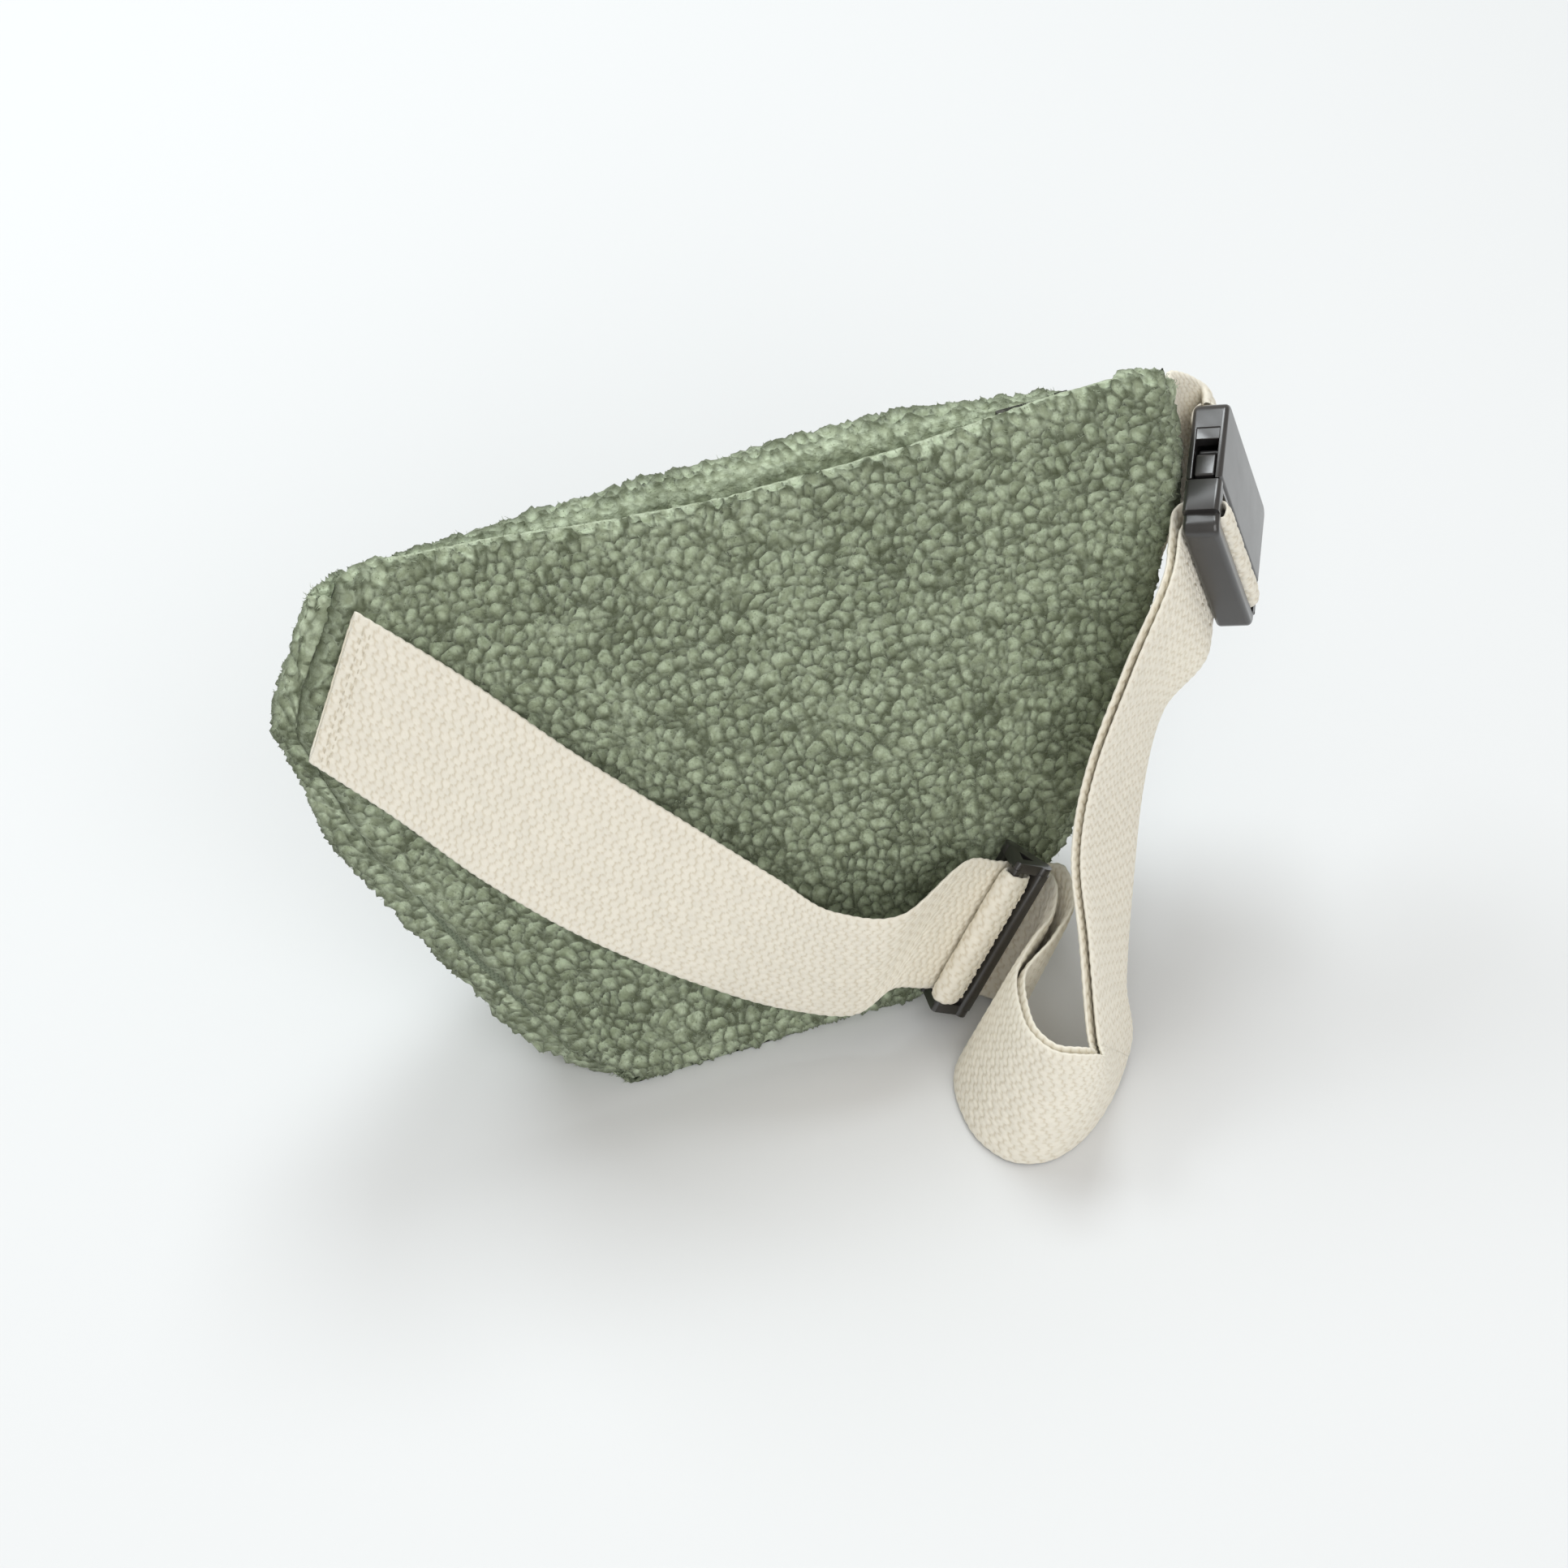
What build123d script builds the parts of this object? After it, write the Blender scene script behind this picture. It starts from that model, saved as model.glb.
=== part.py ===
from build123d import *
import math
import os

# A small zipped waist bag in curly fleece, standing on its flattened belly with
# its back panel leaning away, and its webbing belt hanging in front of it.
# Units are millimetres. +Z is up, X runs along the top zip, and the back panel
# faces -Y. The origin is on the floor, under the middle of the whole object.

# ---------------------------------------------------------------- dimensions
ORIGIN_SHIFT = Vector(-21.06, 16.8, 0)   # moves the layout frame to the object's middle

PANEL_LEAN = 15.0            # back panel leans this many degrees off vertical
PANEL_FOOT = Vector(0, -26, 1.5)   # bottom edge of the back panel, mid length
FLEECE = 4.0                 # thickness of the fleece panels
LINING = 0.8                 # thickness of the lining cloth
SIDE_EDGE = 6.0              # depth of the bag where its two panels meet

# Bag shape by height up the back panel: height, left edge, right edge, depth
BAG_LEVELS = [
    (-1.5, -37, 37, 40),
    (14, -55, 58, 54),
    (30, -66, 73, 60),
    (52, -78, 86, 61),
    (76, -88, 94.5, 56),
    (100, -96, 101.5, 48),
    (118, -99.5, 105, 40),
    (136, -93.5, 105.5, 30),
    (150, -86, 105, 20),
]

ZIP_LEFT = -72.0             # ends of the zip opening along X
ZIP_RIGHT = 94.0
ZIP_HEIGHT = 143.0           # zip level, measured up the back panel
ZIP_DEPTH = 9.2              # zip line, measured in from the back panel
ZIP_SLOT_FAR = 14.0          # far side of the open valley above the zip
ZIP_SLOT_FLOOR = 12.0        # how far below the zip the lining stops
TAPE_THICK = 0.8
COIL_SIZE = 1.8
COIL_GAP = 1.2
SLIDER_WIDTH = 7.0
SLIDER_LENGTH = 9.0
SLIDER_PLATE = 1.0
SLIDER_X = 84.0              # slider at the closed end
PULL_LENGTH = 16.0
PULL_WIDTH = 5.0

WEBBING = 38.0               # belt webbing width
WEB_THICK = 1.6
LAYER_STEP = 2.2             # spacing of two layers that run together
STITCH_DEPTH = 0.5

# Adjuster: a three-sided ladder with a front, a middle and a back bar across the belt
ADJUSTER_POINT = Vector(50.6, -26.6, 22.9)   # belt centre behind the front bar
ADJUSTER_ALONG = Vector(0.805, 0.152, -0.576).normalized()
ADJUSTER_FACE = Vector(0.231, -0.963, 0.069).normalized()
FRONT_BAR = 3.8              # square size of each bar, with rounded corners
MIDDLE_BAR = 2.4
BACK_BAR = 2.6
FRONT_BAR_AT = (0.0, 5.6)    # each bar's place: along the belt, off its face
MIDDLE_BAR_AT = (-7.6, 4.3)
BACK_BAR_AT = (-4.0, -3.0)
RAIL_INNER = 19.6
RAIL_THICK = 2.6
RAIL_WIDTH = 2.2
FRONT_RAIL_WIDTH = 3.4
SEWN_END_STOP = -2.9         # where the turned belt end stops, beside the front bar

# Side-release buckle
BUCKLE_POINT = Vector(112.4, -8.0, 100.7)    # middle of the plug's rear end
BUCKLE_WIDE = Vector(0.346, 0.049, -0.937).normalized()
BUCKLE_FACE = Vector(0.804, -0.532, 0.269).normalized()
BUCKLE_WIDTH = 46.0
BUCKLE_THICK = 8.4
PLUG_REAR_WIDTH = 43.0
REAR_BAR = 3.4
WEB_SLOT = 2.8
INNER_BAR = 2.2
INNER_BAR_LOW = 1.4          # the inner bar sits high, so that the webbing stands proud
CHEEK_INNER = 19.8           # inner faces of both halves' side cheeks
CORNER_ROUND = 3.0
PLUG_BASE = 13.2             # length of the plug outside the socket
BUCKLE_LENGTH = 35.0
SOCKET_WALL = 1.5
MOUTH_GAP = 0.3
TONGUE = (6.0, 11.8, 2.4)    # width, length and thickness of the plug's tongue
TAB_BAR = 2.6                # length of the bar that holds the tab
TAB_BAR_TOP = -0.6
TAB_SLOT = 3.0
END_WALL = 2.0               # solid wall between the latch windows and the tab slot


LATCH_CLEARANCE = 0.35
# Latch arm outline: across from the middle, along from the plug's front
LATCH_OUTLINE = [
    (12.2, 0.5),
    (15.2, 0.5),
    (20.2, 0.9),
    (22.6, 1.4),
    (22.6, 7.0),
    (20.4, 8.4),
    (20.4, 9.6),
    (17.2, 11.4),
    (14.6, 11.4),
    (16.4, 7.6),
    (12.2, 2.6),
]


# ------------------------------------------------------------------- helpers
def panel_axes():
    """Directions up the back panel and straight into the bag."""
    lean = math.radians(PANEL_LEAN)
    up = Vector(0, math.sin(lean), math.cos(lean))
    inward = Vector(0, math.cos(lean), -math.sin(lean))
    return up, inward


PANEL_UP, PANEL_IN = panel_axes()


def level_plane(height):
    """Plane across the bag at a height; local x is X, local y goes into the bag."""
    return Plane(origin=PANEL_FOOT + PANEL_UP * height, x_dir=(1, 0, 0), z_dir=PANEL_UP)


def panel_box(x_range, height_range, depth_range):
    """Box laid out on the back panel: along X, up the panel, into the bag."""
    size = [high - low for low, high in (x_range, depth_range, height_range)]
    middle = [(low + high) / 2 for low, high in (x_range, depth_range, height_range)]
    return level_plane(0) * (Pos(*middle) * Box(*size))


def belly_section(height, left, right, depth, inset=0.0, near=0.0):
    """Cross-section of the bag at one level, drawn in by inset."""
    left += inset
    right -= inset
    depth -= inset
    edge = max(SIDE_EDGE - inset, near + 0.6)
    half = (right - left) / 2
    middle = (right + left) / 2
    swell = [(-0.86, 0.42), (-0.55, 0.84), (0.0, 1.0), (0.55, 0.84), (0.86, 0.42)]
    crown = [(middle + half * side, edge + (depth - edge) * rise) for side, rise in swell]
    corners = [(left, edge), (left, near), (right, near), (right, edge)]
    outline = Polyline(*corners) + Spline((right, edge), *reversed(crown), (left, edge))
    return level_plane(height) * make_face(outline)


def bag_volume(inset=0.0, near=0.0):
    """Loft of the bag's cross-sections, flat where it rests on the floor."""
    sections = []
    for height, left, right, depth in BAG_LEVELS:
        sections.append(belly_section(height, left, right, depth, inset, near))
    floor_cut = Pos(0, 0, inset + 200) * Box(600, 600, 400)
    return loft(sections) & floor_cut


def ribbon(stations, thickness=WEB_THICK):
    """Flat strap through pairs of lower-edge and upper-edge points."""
    sections = []
    for index, (low, high) in enumerate(stations):
        before = stations[max(index - 1, 0)]
        after = stations[min(index + 1, len(stations) - 1)]
        along = (after[0] + after[1]) - (before[0] + before[1])
        facing = along.cross(high - low).normalized() * (thickness / 2)
        corners = [low - facing, high - facing, high + facing, low + facing]
        sections.append(Face(Wire.make_polygon(corners, close=True)))
    return loft(sections, ruled=True)


def band_profile(plane, points, thickness, width):
    """Webbing bent square along a profile, made of straight runs, across width."""
    runs = []
    for (x1, y1), (x2, y2) in zip(points, points[1:]):
        wide = abs(x2 - x1) + thickness
        tall = abs(y2 - y1) + thickness
        runs.append(Pos((x1 + x2) / 2, (y1 + y2) / 2) * Rectangle(wide, tall))
    face = Sketch() + runs
    return plane * extrude(face, width / 2, both=True)


def write(name, shape):
    """Place one sub-part in the object's frame and export it."""
    export_step(Pos(*ORIGIN_SHIFT) * shape, f"parts/{name}.step")


# ----------------------------------------------------------------- bag body
def bag_shell():
    """Back panel, bulging front panel and the two lining cloths."""
    outer = bag_volume()
    pocket = bag_volume(inset=FLEECE, near=FLEECE)
    room = bag_volume(inset=FLEECE + LINING, near=FLEECE + LINING)
    back_slab = panel_box((-200, 200), (-50, 200), (-50, FLEECE))
    front_side = panel_box((-200, 200), (-50, 200), (FLEECE, 200))
    zip_valley = panel_box(
        (ZIP_LEFT, ZIP_RIGHT), (ZIP_HEIGHT - 14, 200), (FLEECE, ZIP_SLOT_FAR))
    lining_top = ZIP_HEIGHT - ZIP_SLOT_FLOOR
    top_cap = panel_box((-200, 200), (lining_top, 200), (-50, 200))
    closed_pocket = pocket - top_cap
    back = outer & back_slab
    front = (outer & front_side) - closed_pocket - zip_valley
    lining = closed_pocket - room
    lining_slab = panel_box((-200, 200), (-50, lining_top), (FLEECE, FLEECE + LINING))
    lining_back = lining & lining_slab
    lining_front = (lining - lining_slab) & front_side
    return {
        "back_panel": back,
        "front_panel": front,
        "lining_back": lining_back,
        "lining_front": lining_front,
    }


# ---------------------------------------------------------------------- zip
def zip_chain():
    """Two tapes, two coils and the end stops, fixed in the valley."""
    tape_low = ZIP_HEIGHT - TAPE_THICK / 2
    tape_high = ZIP_HEIGHT + TAPE_THICK / 2
    span = (ZIP_LEFT + 0.5, ZIP_RIGHT - 0.5)
    inner = COIL_GAP / 2
    outer = inner + COIL_SIZE
    coil_level = (ZIP_HEIGHT - COIL_SIZE / 2, ZIP_HEIGHT + COIL_SIZE / 2)
    stop_level = (ZIP_HEIGHT - 1.6, ZIP_HEIGHT + 1.6)
    stop_depth = (ZIP_DEPTH - outer, ZIP_DEPTH + outer)
    teeth_span = (ZIP_LEFT + 3.5, ZIP_RIGHT - 3.5)
    return {
        "zip_tape_rear": panel_box(span, (tape_low, tape_high), (FLEECE, ZIP_DEPTH - outer)),
        "zip_tape_front": panel_box(
            span, (tape_low, tape_high), (ZIP_DEPTH + outer, ZIP_SLOT_FAR)),
        "zip_coil_rear": panel_box(
            teeth_span, coil_level, (ZIP_DEPTH - outer, ZIP_DEPTH - inner)),
        "zip_coil_front": panel_box(
            teeth_span, coil_level, (ZIP_DEPTH + inner, ZIP_DEPTH + outer)),
        "zip_stop_open_end": panel_box(
            (ZIP_LEFT + 0.5, ZIP_LEFT + 3.5), stop_level, stop_depth),
        "zip_stop_closed_end": panel_box(
            (ZIP_RIGHT - 3.5, ZIP_RIGHT - 0.5), stop_level, stop_depth),
    }


def zip_slider():
    """Slider plates joined by a thin post between the coils, with a bail on top."""
    x_span = (SLIDER_X - SLIDER_LENGTH / 2, SLIDER_X + SLIDER_LENGTH / 2)
    depth_span = (ZIP_DEPTH - SLIDER_WIDTH / 2, ZIP_DEPTH + SLIDER_WIDTH / 2)
    clear = COIL_SIZE / 2 + 0.4
    top_plate = panel_box(
        x_span, (ZIP_HEIGHT + clear, ZIP_HEIGHT + clear + SLIDER_PLATE), depth_span)
    low_plate = panel_box(
        x_span, (ZIP_HEIGHT - clear - SLIDER_PLATE, ZIP_HEIGHT - clear), depth_span)
    post = panel_box(
        (SLIDER_X + 1.2, SLIDER_X + 3.6),
        (ZIP_HEIGHT - clear - 0.2, ZIP_HEIGHT + clear + 0.2),
        (ZIP_DEPTH - 0.3, ZIP_DEPTH + 0.3))
    cheek_base = ZIP_HEIGHT + clear
    body = top_plate + low_plate + post
    for side in (-1, 1):
        middle = ZIP_DEPTH + side * 1.9
        body += panel_box(
            (SLIDER_X - 1.6, SLIDER_X + 1.6),
            (cheek_base, cheek_base + 4.4),
            (middle - 0.5, middle + 0.5))
    return body + pull_pin(0.6, 3.8)


def pull_pivot():
    """Height of the pull's pivot up the back panel."""
    return ZIP_HEIGHT + COIL_SIZE / 2 + 0.4 + SLIDER_PLATE + 2.2


def pull_pin(radius, width):
    """Round bar across the zip on the pull's pivot."""
    plane = level_plane(pull_pivot())
    return plane * (Pos(SLIDER_X, ZIP_DEPTH) * Rot(90, 0, 0) * Cylinder(radius, width))


def zip_pull():
    """Flat pull with a barrel that turns on the slider's bail."""
    barrel = pull_pin(1.7, 2.4)
    level = pull_pivot()
    depth_span = (ZIP_DEPTH - PULL_WIDTH / 2, ZIP_DEPTH + PULL_WIDTH / 2)
    neck = panel_box(
        (SLIDER_X - 5, SLIDER_X - 0.5), (level - 0.7, level + 0.7),
        (ZIP_DEPTH - 1.2, ZIP_DEPTH + 1.2))
    plate = panel_box(
        (SLIDER_X - PULL_LENGTH, SLIDER_X - 4), (level - 0.7, level + 0.7), depth_span)
    return barrel + neck + plate - pull_pin(0.85, 6)


# --------------------------------------------------------------------- belt
def long_run_stations():
    """Belt from the left seam down across the back panel to the adjuster."""
    pairs = [
        ((-99.5, 1.6, 115.0), (-83.5, 10.2, 147.0)),
        ((-84.6, -3.6, 96.7), (-65.2, 4.0, 127.5)),
        ((-66.3, -10.0, 72.1), (-43.0, -4.8, 101.6)),
        ((-46.3, -16.6, 50.6), (-21.6, -13.6, 79.3)),
        ((-23.0, -22.8, 30.7), (-3.2, -24.8, 63.2)),
        ((-2.0, -27.5, 16.0), (9.6, -31.2, 52.0)),
        ((14.0, -32.0, 11.5), (25.0, -34.0, 47.8)),
    ]
    return [(Vector(*low), Vector(*high)) for low, high in pairs]


def adjuster_station(along, lift=0.0):
    """Belt edges at a distance along the adjuster and a lift off the belt's plane."""
    across = ADJUSTER_FACE.cross(ADJUSTER_ALONG)
    middle = ADJUSTER_POINT + ADJUSTER_ALONG * along + ADJUSTER_FACE * lift
    return middle - across * (WEBBING / 2), middle + across * (WEBBING / 2)


def floor_bend_stations():
    """Middle surface of the two layers round the bend that stands on the floor."""
    pairs = [
        ((34.5, -50.0, 0.4), (48.5, -50.5, 35.4)),
        ((31.6, -60.5, 0.4), (44.8, -60.0, 35.8)),
        ((32.6, -70.5, 0.4), (44.0, -68.0, 36.3)),
        ((37.5, -77.5, 0.4), (46.6, -74.4, 36.7)),
        ((45.5, -79.5, 0.4), (51.0, -77.6, 37.5)),
        ((54.5, -76.5, 0.4), (54.2, -78.6, 37.0)),
        ((64.0, -69.5, 0.6), (55.6, -78.2, 34.8)),
    ]
    return [(Vector(*low), Vector(*high)) for low, high in pairs]


def rise_stations():
    """Middle surface of the two layers from the floor up to the buckle's plug."""
    pairs = [
        ((72.6, -60.6, 2.4), (56.2, -74.6, 33.8)),
        ((76.0, -49.6, 17.0), (60.0, -58.0, 50.6)),
        ((83.4, -34.4, 35.0), (62.9, -44.6, 65.3)),
        ((91.1, -20.5, 52.6), (70.3, -34.1, 80.9)),
        ((99.2, -11.6, 66.6), (83.3, -23.4, 99.2)),
    ]
    stations = [(Vector(*low), Vector(*high)) for low, high in pairs]
    return stations + [plug_station(-6.0), plug_station(-2.1)]


def buckle_plane():
    """Buckle frame: local x across the webbing, y towards the socket, z its face."""
    return Plane(origin=BUCKLE_POINT, x_dir=BUCKLE_WIDE, z_dir=BUCKLE_FACE)


def plug_station(along):
    """Belt edges behind the plug, low edge first."""
    plane = buckle_plane()
    level = -BUCKLE_THICK / 2 - LAYER_STEP / 2 - 0.9
    low = plane.from_local_coords(Vector(WEBBING / 2, along, level))
    high = plane.from_local_coords(Vector(-WEBBING / 2, along, level))
    return low, high


def offset_stations(stations, offset):
    """Shift a run of stations sideways off its own surface."""
    moved = []
    for index, (low, high) in enumerate(stations):
        before = stations[max(index - 1, 0)]
        after = stations[min(index + 1, len(stations) - 1)]
        along = (after[0] + after[1]) - (before[0] + before[1])
        side = along.cross(high - low).normalized() * offset
        moved.append((low + side, high + side))
    return [(lift_to_floor(low), high) for low, high in moved]


def lift_to_floor(point):
    """Keep a lower edge just above the floor."""
    return Vector(point.X, point.Y, max(point.Z, 0.4))


def belt_runs():
    """Every webbing stretch that stays with the bag."""
    half_step = LAYER_STEP / 2
    entry = long_run_stations() + [adjuster_station(-20), adjuster_station(-10)]
    passing = [adjuster_station(-9.9), adjuster_station(0), adjuster_station(4.0)]
    slack_pairs = [
        ((54.6, -30.4, 0.7), (70.4, -25.4, 35.8)),
        ((54.4, -38.0, 0.5), (68.4, -36.0, 36.4)),
        ((47.0, -44.8, 0.5), (60.4, -44.0, 36.6)),
    ]
    slack = [adjuster_station(4.1), adjuster_station(8.0)]
    slack += [(Vector(*low), Vector(*high)) for low, high in slack_pairs]
    sewn_pairs = [
        ((50.9, -33.4, 1.5), (66.7, -29.2, 36.0)),
        ((48.4, -38.4, 0.6), (62.4, -37.6, 36.2)),
        ((42.4, -42.6, 0.5), (56.0, -42.4, 36.2)),
    ]
    sewn = [adjuster_station(4.6, LAYER_STEP), adjuster_station(6.0, LAYER_STEP)]
    sewn += [(Vector(*low), Vector(*high)) for low, high in sewn_pairs]
    bend = bend_to_rise()
    return {
        "strap_long_run": ribbon(entry),
        "strap_through_adjuster": ribbon(passing),
        "strap_slack_curl": ribbon(slack + offset_stations(bend, -half_step)[:1]),
        "strap_sewn_curl": ribbon(sewn + offset_stations(bend, half_step)[:1]),
        "strap_inner_bend": ribbon(offset_stations(bend, -half_step)),
        "strap_outer_bend": ribbon(offset_stations(bend, half_step)),
        "strap_inner_rise": ribbon(offset_stations(rise_stations(), -half_step)),
        "strap_outer_rise": ribbon(offset_stations(rise_stations(), half_step)),
    }


def bend_to_rise():
    """The floor bend carried on to where the rise begins."""
    return floor_bend_stations() + rise_stations()[:1]


def belt_anchor():
    """Bar of stitching where the belt enters the left seam."""
    low, high = long_run_stations()[0]
    next_low, next_high = long_run_stations()[1]
    along = (next_low - low).normalized() * 2.4
    outward = (next_low - low).cross(high - low).normalized()
    facing = outward * ((WEB_THICK + STITCH_DEPTH) / 2)
    start = (low + along + facing, high + along + facing)
    end = (start[0] + along, start[1] + along)
    return ribbon([start, end], STITCH_DEPTH)


# ----------------------------------------------------------------- adjuster
def adjuster_plane():
    """Adjuster frame: local x along the belt, local y off its face, z down across it."""
    across = ADJUSTER_ALONG.cross(ADJUSTER_FACE)
    return Plane(origin=ADJUSTER_POINT, x_dir=ADJUSTER_ALONG, z_dir=across)


def adjuster_bar(place, size):
    """Rounded bar across the belt at a place given along and off the belt."""
    section = Pos(*place) * RectangleRounded(size, size, size * 0.32)
    return adjuster_plane() * extrude(section, RAIL_INNER + 0.6, both=True)


def adjuster_frame():
    """Moulded frame: three bars between two open three-sided rails."""
    frame = adjuster_bar(FRONT_BAR_AT, FRONT_BAR)
    frame += adjuster_bar(MIDDLE_BAR_AT, MIDDLE_BAR)
    frame += adjuster_bar(BACK_BAR_AT, BACK_BAR)
    sides = [
        (FRONT_BAR_AT, MIDDLE_BAR_AT, RAIL_WIDTH),
        (MIDDLE_BAR_AT, BACK_BAR_AT, RAIL_WIDTH),
        (BACK_BAR_AT, FRONT_BAR_AT, FRONT_RAIL_WIDTH),
    ]
    rail = Pos(*FRONT_BAR_AT) * Circle(FRONT_BAR / 2)
    for (x1, y1), (x2, y2), width in sides:
        length = math.hypot(x2 - x1, y2 - y1)
        angle = math.degrees(math.atan2(y2 - y1, x2 - x1))
        slot = SlotCenterToCenter(length, width)
        rail += Pos((x1 + x2) / 2, (y1 + y2) / 2) * Rot(0, 0, angle) * slot
    for near_face in (RAIL_INNER, -RAIL_INNER - RAIL_THICK):
        frame += adjuster_plane() * (Pos(0, 0, near_face) * extrude(rail, RAIL_THICK))
    return frame


def sewn_end():
    """Belt end wrapped round the middle bar and laid back towards the front bar."""
    middle_x, middle_lift = MIDDLE_BAR_AT
    step = MIDDLE_BAR / 2 + 0.1 + WEB_THICK / 2
    low = LAYER_STEP
    top = middle_lift + step
    profile = [
        (3.4, low),
        (middle_x - step, low),
        (middle_x - step, top),
        (SEWN_END_STOP, top),
        (SEWN_END_STOP, low + WEB_THICK),
    ]
    return band_profile(adjuster_plane(), profile, WEB_THICK, WEBBING - 0.6)


def sewn_end_stitching():
    """Row of stitching on the turned belt end, beside the front bar."""
    middle_lift = MIDDLE_BAR_AT[1]
    web_top = middle_lift + MIDDLE_BAR / 2 + 0.1 + WEB_THICK
    row = Pos(SEWN_END_STOP, web_top + STITCH_DEPTH / 2) * Rectangle(1.2, STITCH_DEPTH)
    return adjuster_plane() * extrude(row, WEBBING / 2 - 2, both=True)


# ------------------------------------------------------------------- buckle
def buckle_box(x_range, y_range, z_range):
    """Box in the buckle frame."""
    ranges = (x_range, y_range, z_range)
    size = [high - low for low, high in ranges]
    middle = [(low + high) / 2 for low, high in ranges]
    return Pos(*middle) * Box(*size)


def plug_body():
    """Plug: rear bar, inner bar, cheeks and the centre tongue."""
    half_rear = PLUG_REAR_WIDTH / 2
    half = BUCKLE_WIDTH / 2
    deep = BUCKLE_THICK / 2
    inner_start = REAR_BAR + WEB_SLOT
    front_start = inner_start + INNER_BAR + WEB_SLOT
    outline = buckle_box((-half_rear, half_rear), (0, PLUG_BASE), (-deep, deep))
    corners = outline.edges().filter_by(Axis.Z).group_by(Axis.Y)[0]
    body = fillet(corners, CORNER_ROUND)
    rim = body.edges().group_by(Axis.Z)
    body = fillet(rim[0] + rim[-1], 1.2)
    body -= buckle_box((-CHEEK_INNER, CHEEK_INNER), (REAR_BAR, front_start), (-deep - 1, deep + 1))
    body += buckle_box((-CHEEK_INNER - 1, CHEEK_INNER + 1),
                       (inner_start, inner_start + INNER_BAR), (INNER_BAR_LOW, deep))
    for side in (-1, 1):
        span = sorted((side * CHEEK_INNER, side * half))
        shoulder = buckle_box(tuple(span), (5.0, PLUG_BASE), (-deep, deep))
        body += fillet(shoulder.edges().filter_by(Axis.Y), 1.2)
    width, length, thickness = TONGUE
    tongue = buckle_box((-width / 2, width / 2), (PLUG_BASE - 0.5, PLUG_BASE + length),
                        (-thickness / 2, thickness / 2))
    return buckle_plane() * (body + tongue)


def latch_arm(side):
    """One sprung arm with its thumb shoulder and barb."""
    outline = [(side * across, PLUG_BASE + along) for across, along in LATCH_OUTLINE]
    arm = make_face(Polyline(*outline, close=True))
    thickness = BUCKLE_THICK / 2 - SOCKET_WALL - LATCH_CLEARANCE
    return buckle_plane() * extrude(arm, thickness, both=True)


def socket_body():
    """Socket: two face plates, side blocks at the far end, and the tab's low end bar."""
    half = BUCKLE_WIDTH / 2
    deep = BUCKLE_THICK / 2
    mouth = PLUG_BASE + MOUTH_GAP
    slot_end = BUCKLE_LENGTH - TAB_BAR
    slot_start = slot_end - TAB_SLOT
    window_end = slot_start - END_WALL
    inner_top = deep - SOCKET_WALL
    outline = buckle_box((-half, half), (mouth, BUCKLE_LENGTH), (-deep, deep))
    corners = outline.edges().filter_by(Axis.Z).group_by(Axis.Y)[-1]
    shell = fillet(corners, CORNER_ROUND)
    rim = shell.edges().group_by(Axis.Z)
    shell = fillet(rim[0] + rim[-1], 1.2)
    shell -= buckle_box((-half - 1, half + 1), (mouth - 1, window_end), (-inner_top, inner_top))
    shell -= buckle_box((-CHEEK_INNER, CHEEK_INNER), (slot_start, slot_end), (-deep - 1, inner_top))
    shell -= buckle_box((-CHEEK_INNER, CHEEK_INNER), (slot_end - 1, BUCKLE_LENGTH + 1),
                        (TAB_BAR_TOP, inner_top))
    for side in (-1, 1):
        span = sorted((side * (half - 3.2), side * (half - 0.3)))
        shell += buckle_box(tuple(span), (window_end - 3.0, window_end + 0.2),
                            (-inner_top - 0.1, inner_top + 0.1))
    return buckle_plane() * shell


def plug_loop():
    """Belt wrapped round the plug's inner bar, both layers leaving behind it."""
    under_rear = -BUCKLE_THICK / 2 - 0.9
    slot_a = REAR_BAR + WEB_SLOT / 2
    slot_b = REAR_BAR + WEB_SLOT * 1.5 + INNER_BAR
    over_bar = BUCKLE_THICK / 2 + 0.15 + WEB_THICK / 2
    profile = [
        (-0.9, under_rear),
        (slot_a, under_rear),
        (slot_a, over_bar),
        (slot_b, over_bar),
        (slot_b, under_rear - LAYER_STEP),
        (-0.9, under_rear - LAYER_STEP),
    ]
    across = Plane(
        origin=buckle_plane().origin,
        x_dir=buckle_plane().y_dir,
        z_dir=buckle_plane().x_dir)
    return band_profile(across, profile, WEB_THICK, WEBBING)


def tab_stations():
    """Short doubled tab from the right seam round to the socket's end bar."""
    plane = buckle_plane()
    across = WEBBING / 2 - 0.4
    stations = [
        (Vector(102.6, 3.4, 100.6), Vector(103.0, 12.4, 137.4)),
        (Vector(111.4, 13.4, 100.4), Vector(109.0, 20.4, 137.6)),
        (Vector(121.4, 25.0, 97.4), Vector(114.6, 28.2, 134.6)),
    ]
    for along, level in ((BUCKLE_LENGTH + 6.0, -3.0), (BUCKLE_LENGTH + 2.3, -2.4)):
        low = plane.from_local_coords(Vector(across, along, level))
        high = plane.from_local_coords(Vector(-across, along, level))
        stations.append((low, high))
    return stations


def tab_loop():
    """Tab webbing closed round the socket's end bar."""
    slot = BUCKLE_LENGTH - TAB_BAR - TAB_SLOT / 2
    outside = BUCKLE_LENGTH + 1.3
    under = -BUCKLE_THICK / 2 - 0.2 - WEB_THICK / 2
    over = TAB_BAR_TOP + 0.2 + WEB_THICK / 2
    profile = [
        (outside, under),
        (slot, under),
        (slot, over),
        (outside, over),
        (outside, under),
    ]
    across = Plane(
        origin=buckle_plane().origin,
        x_dir=buckle_plane().y_dir,
        z_dir=buckle_plane().x_dir)
    return band_profile(across, profile, WEB_THICK, WEBBING - 0.8)


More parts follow.
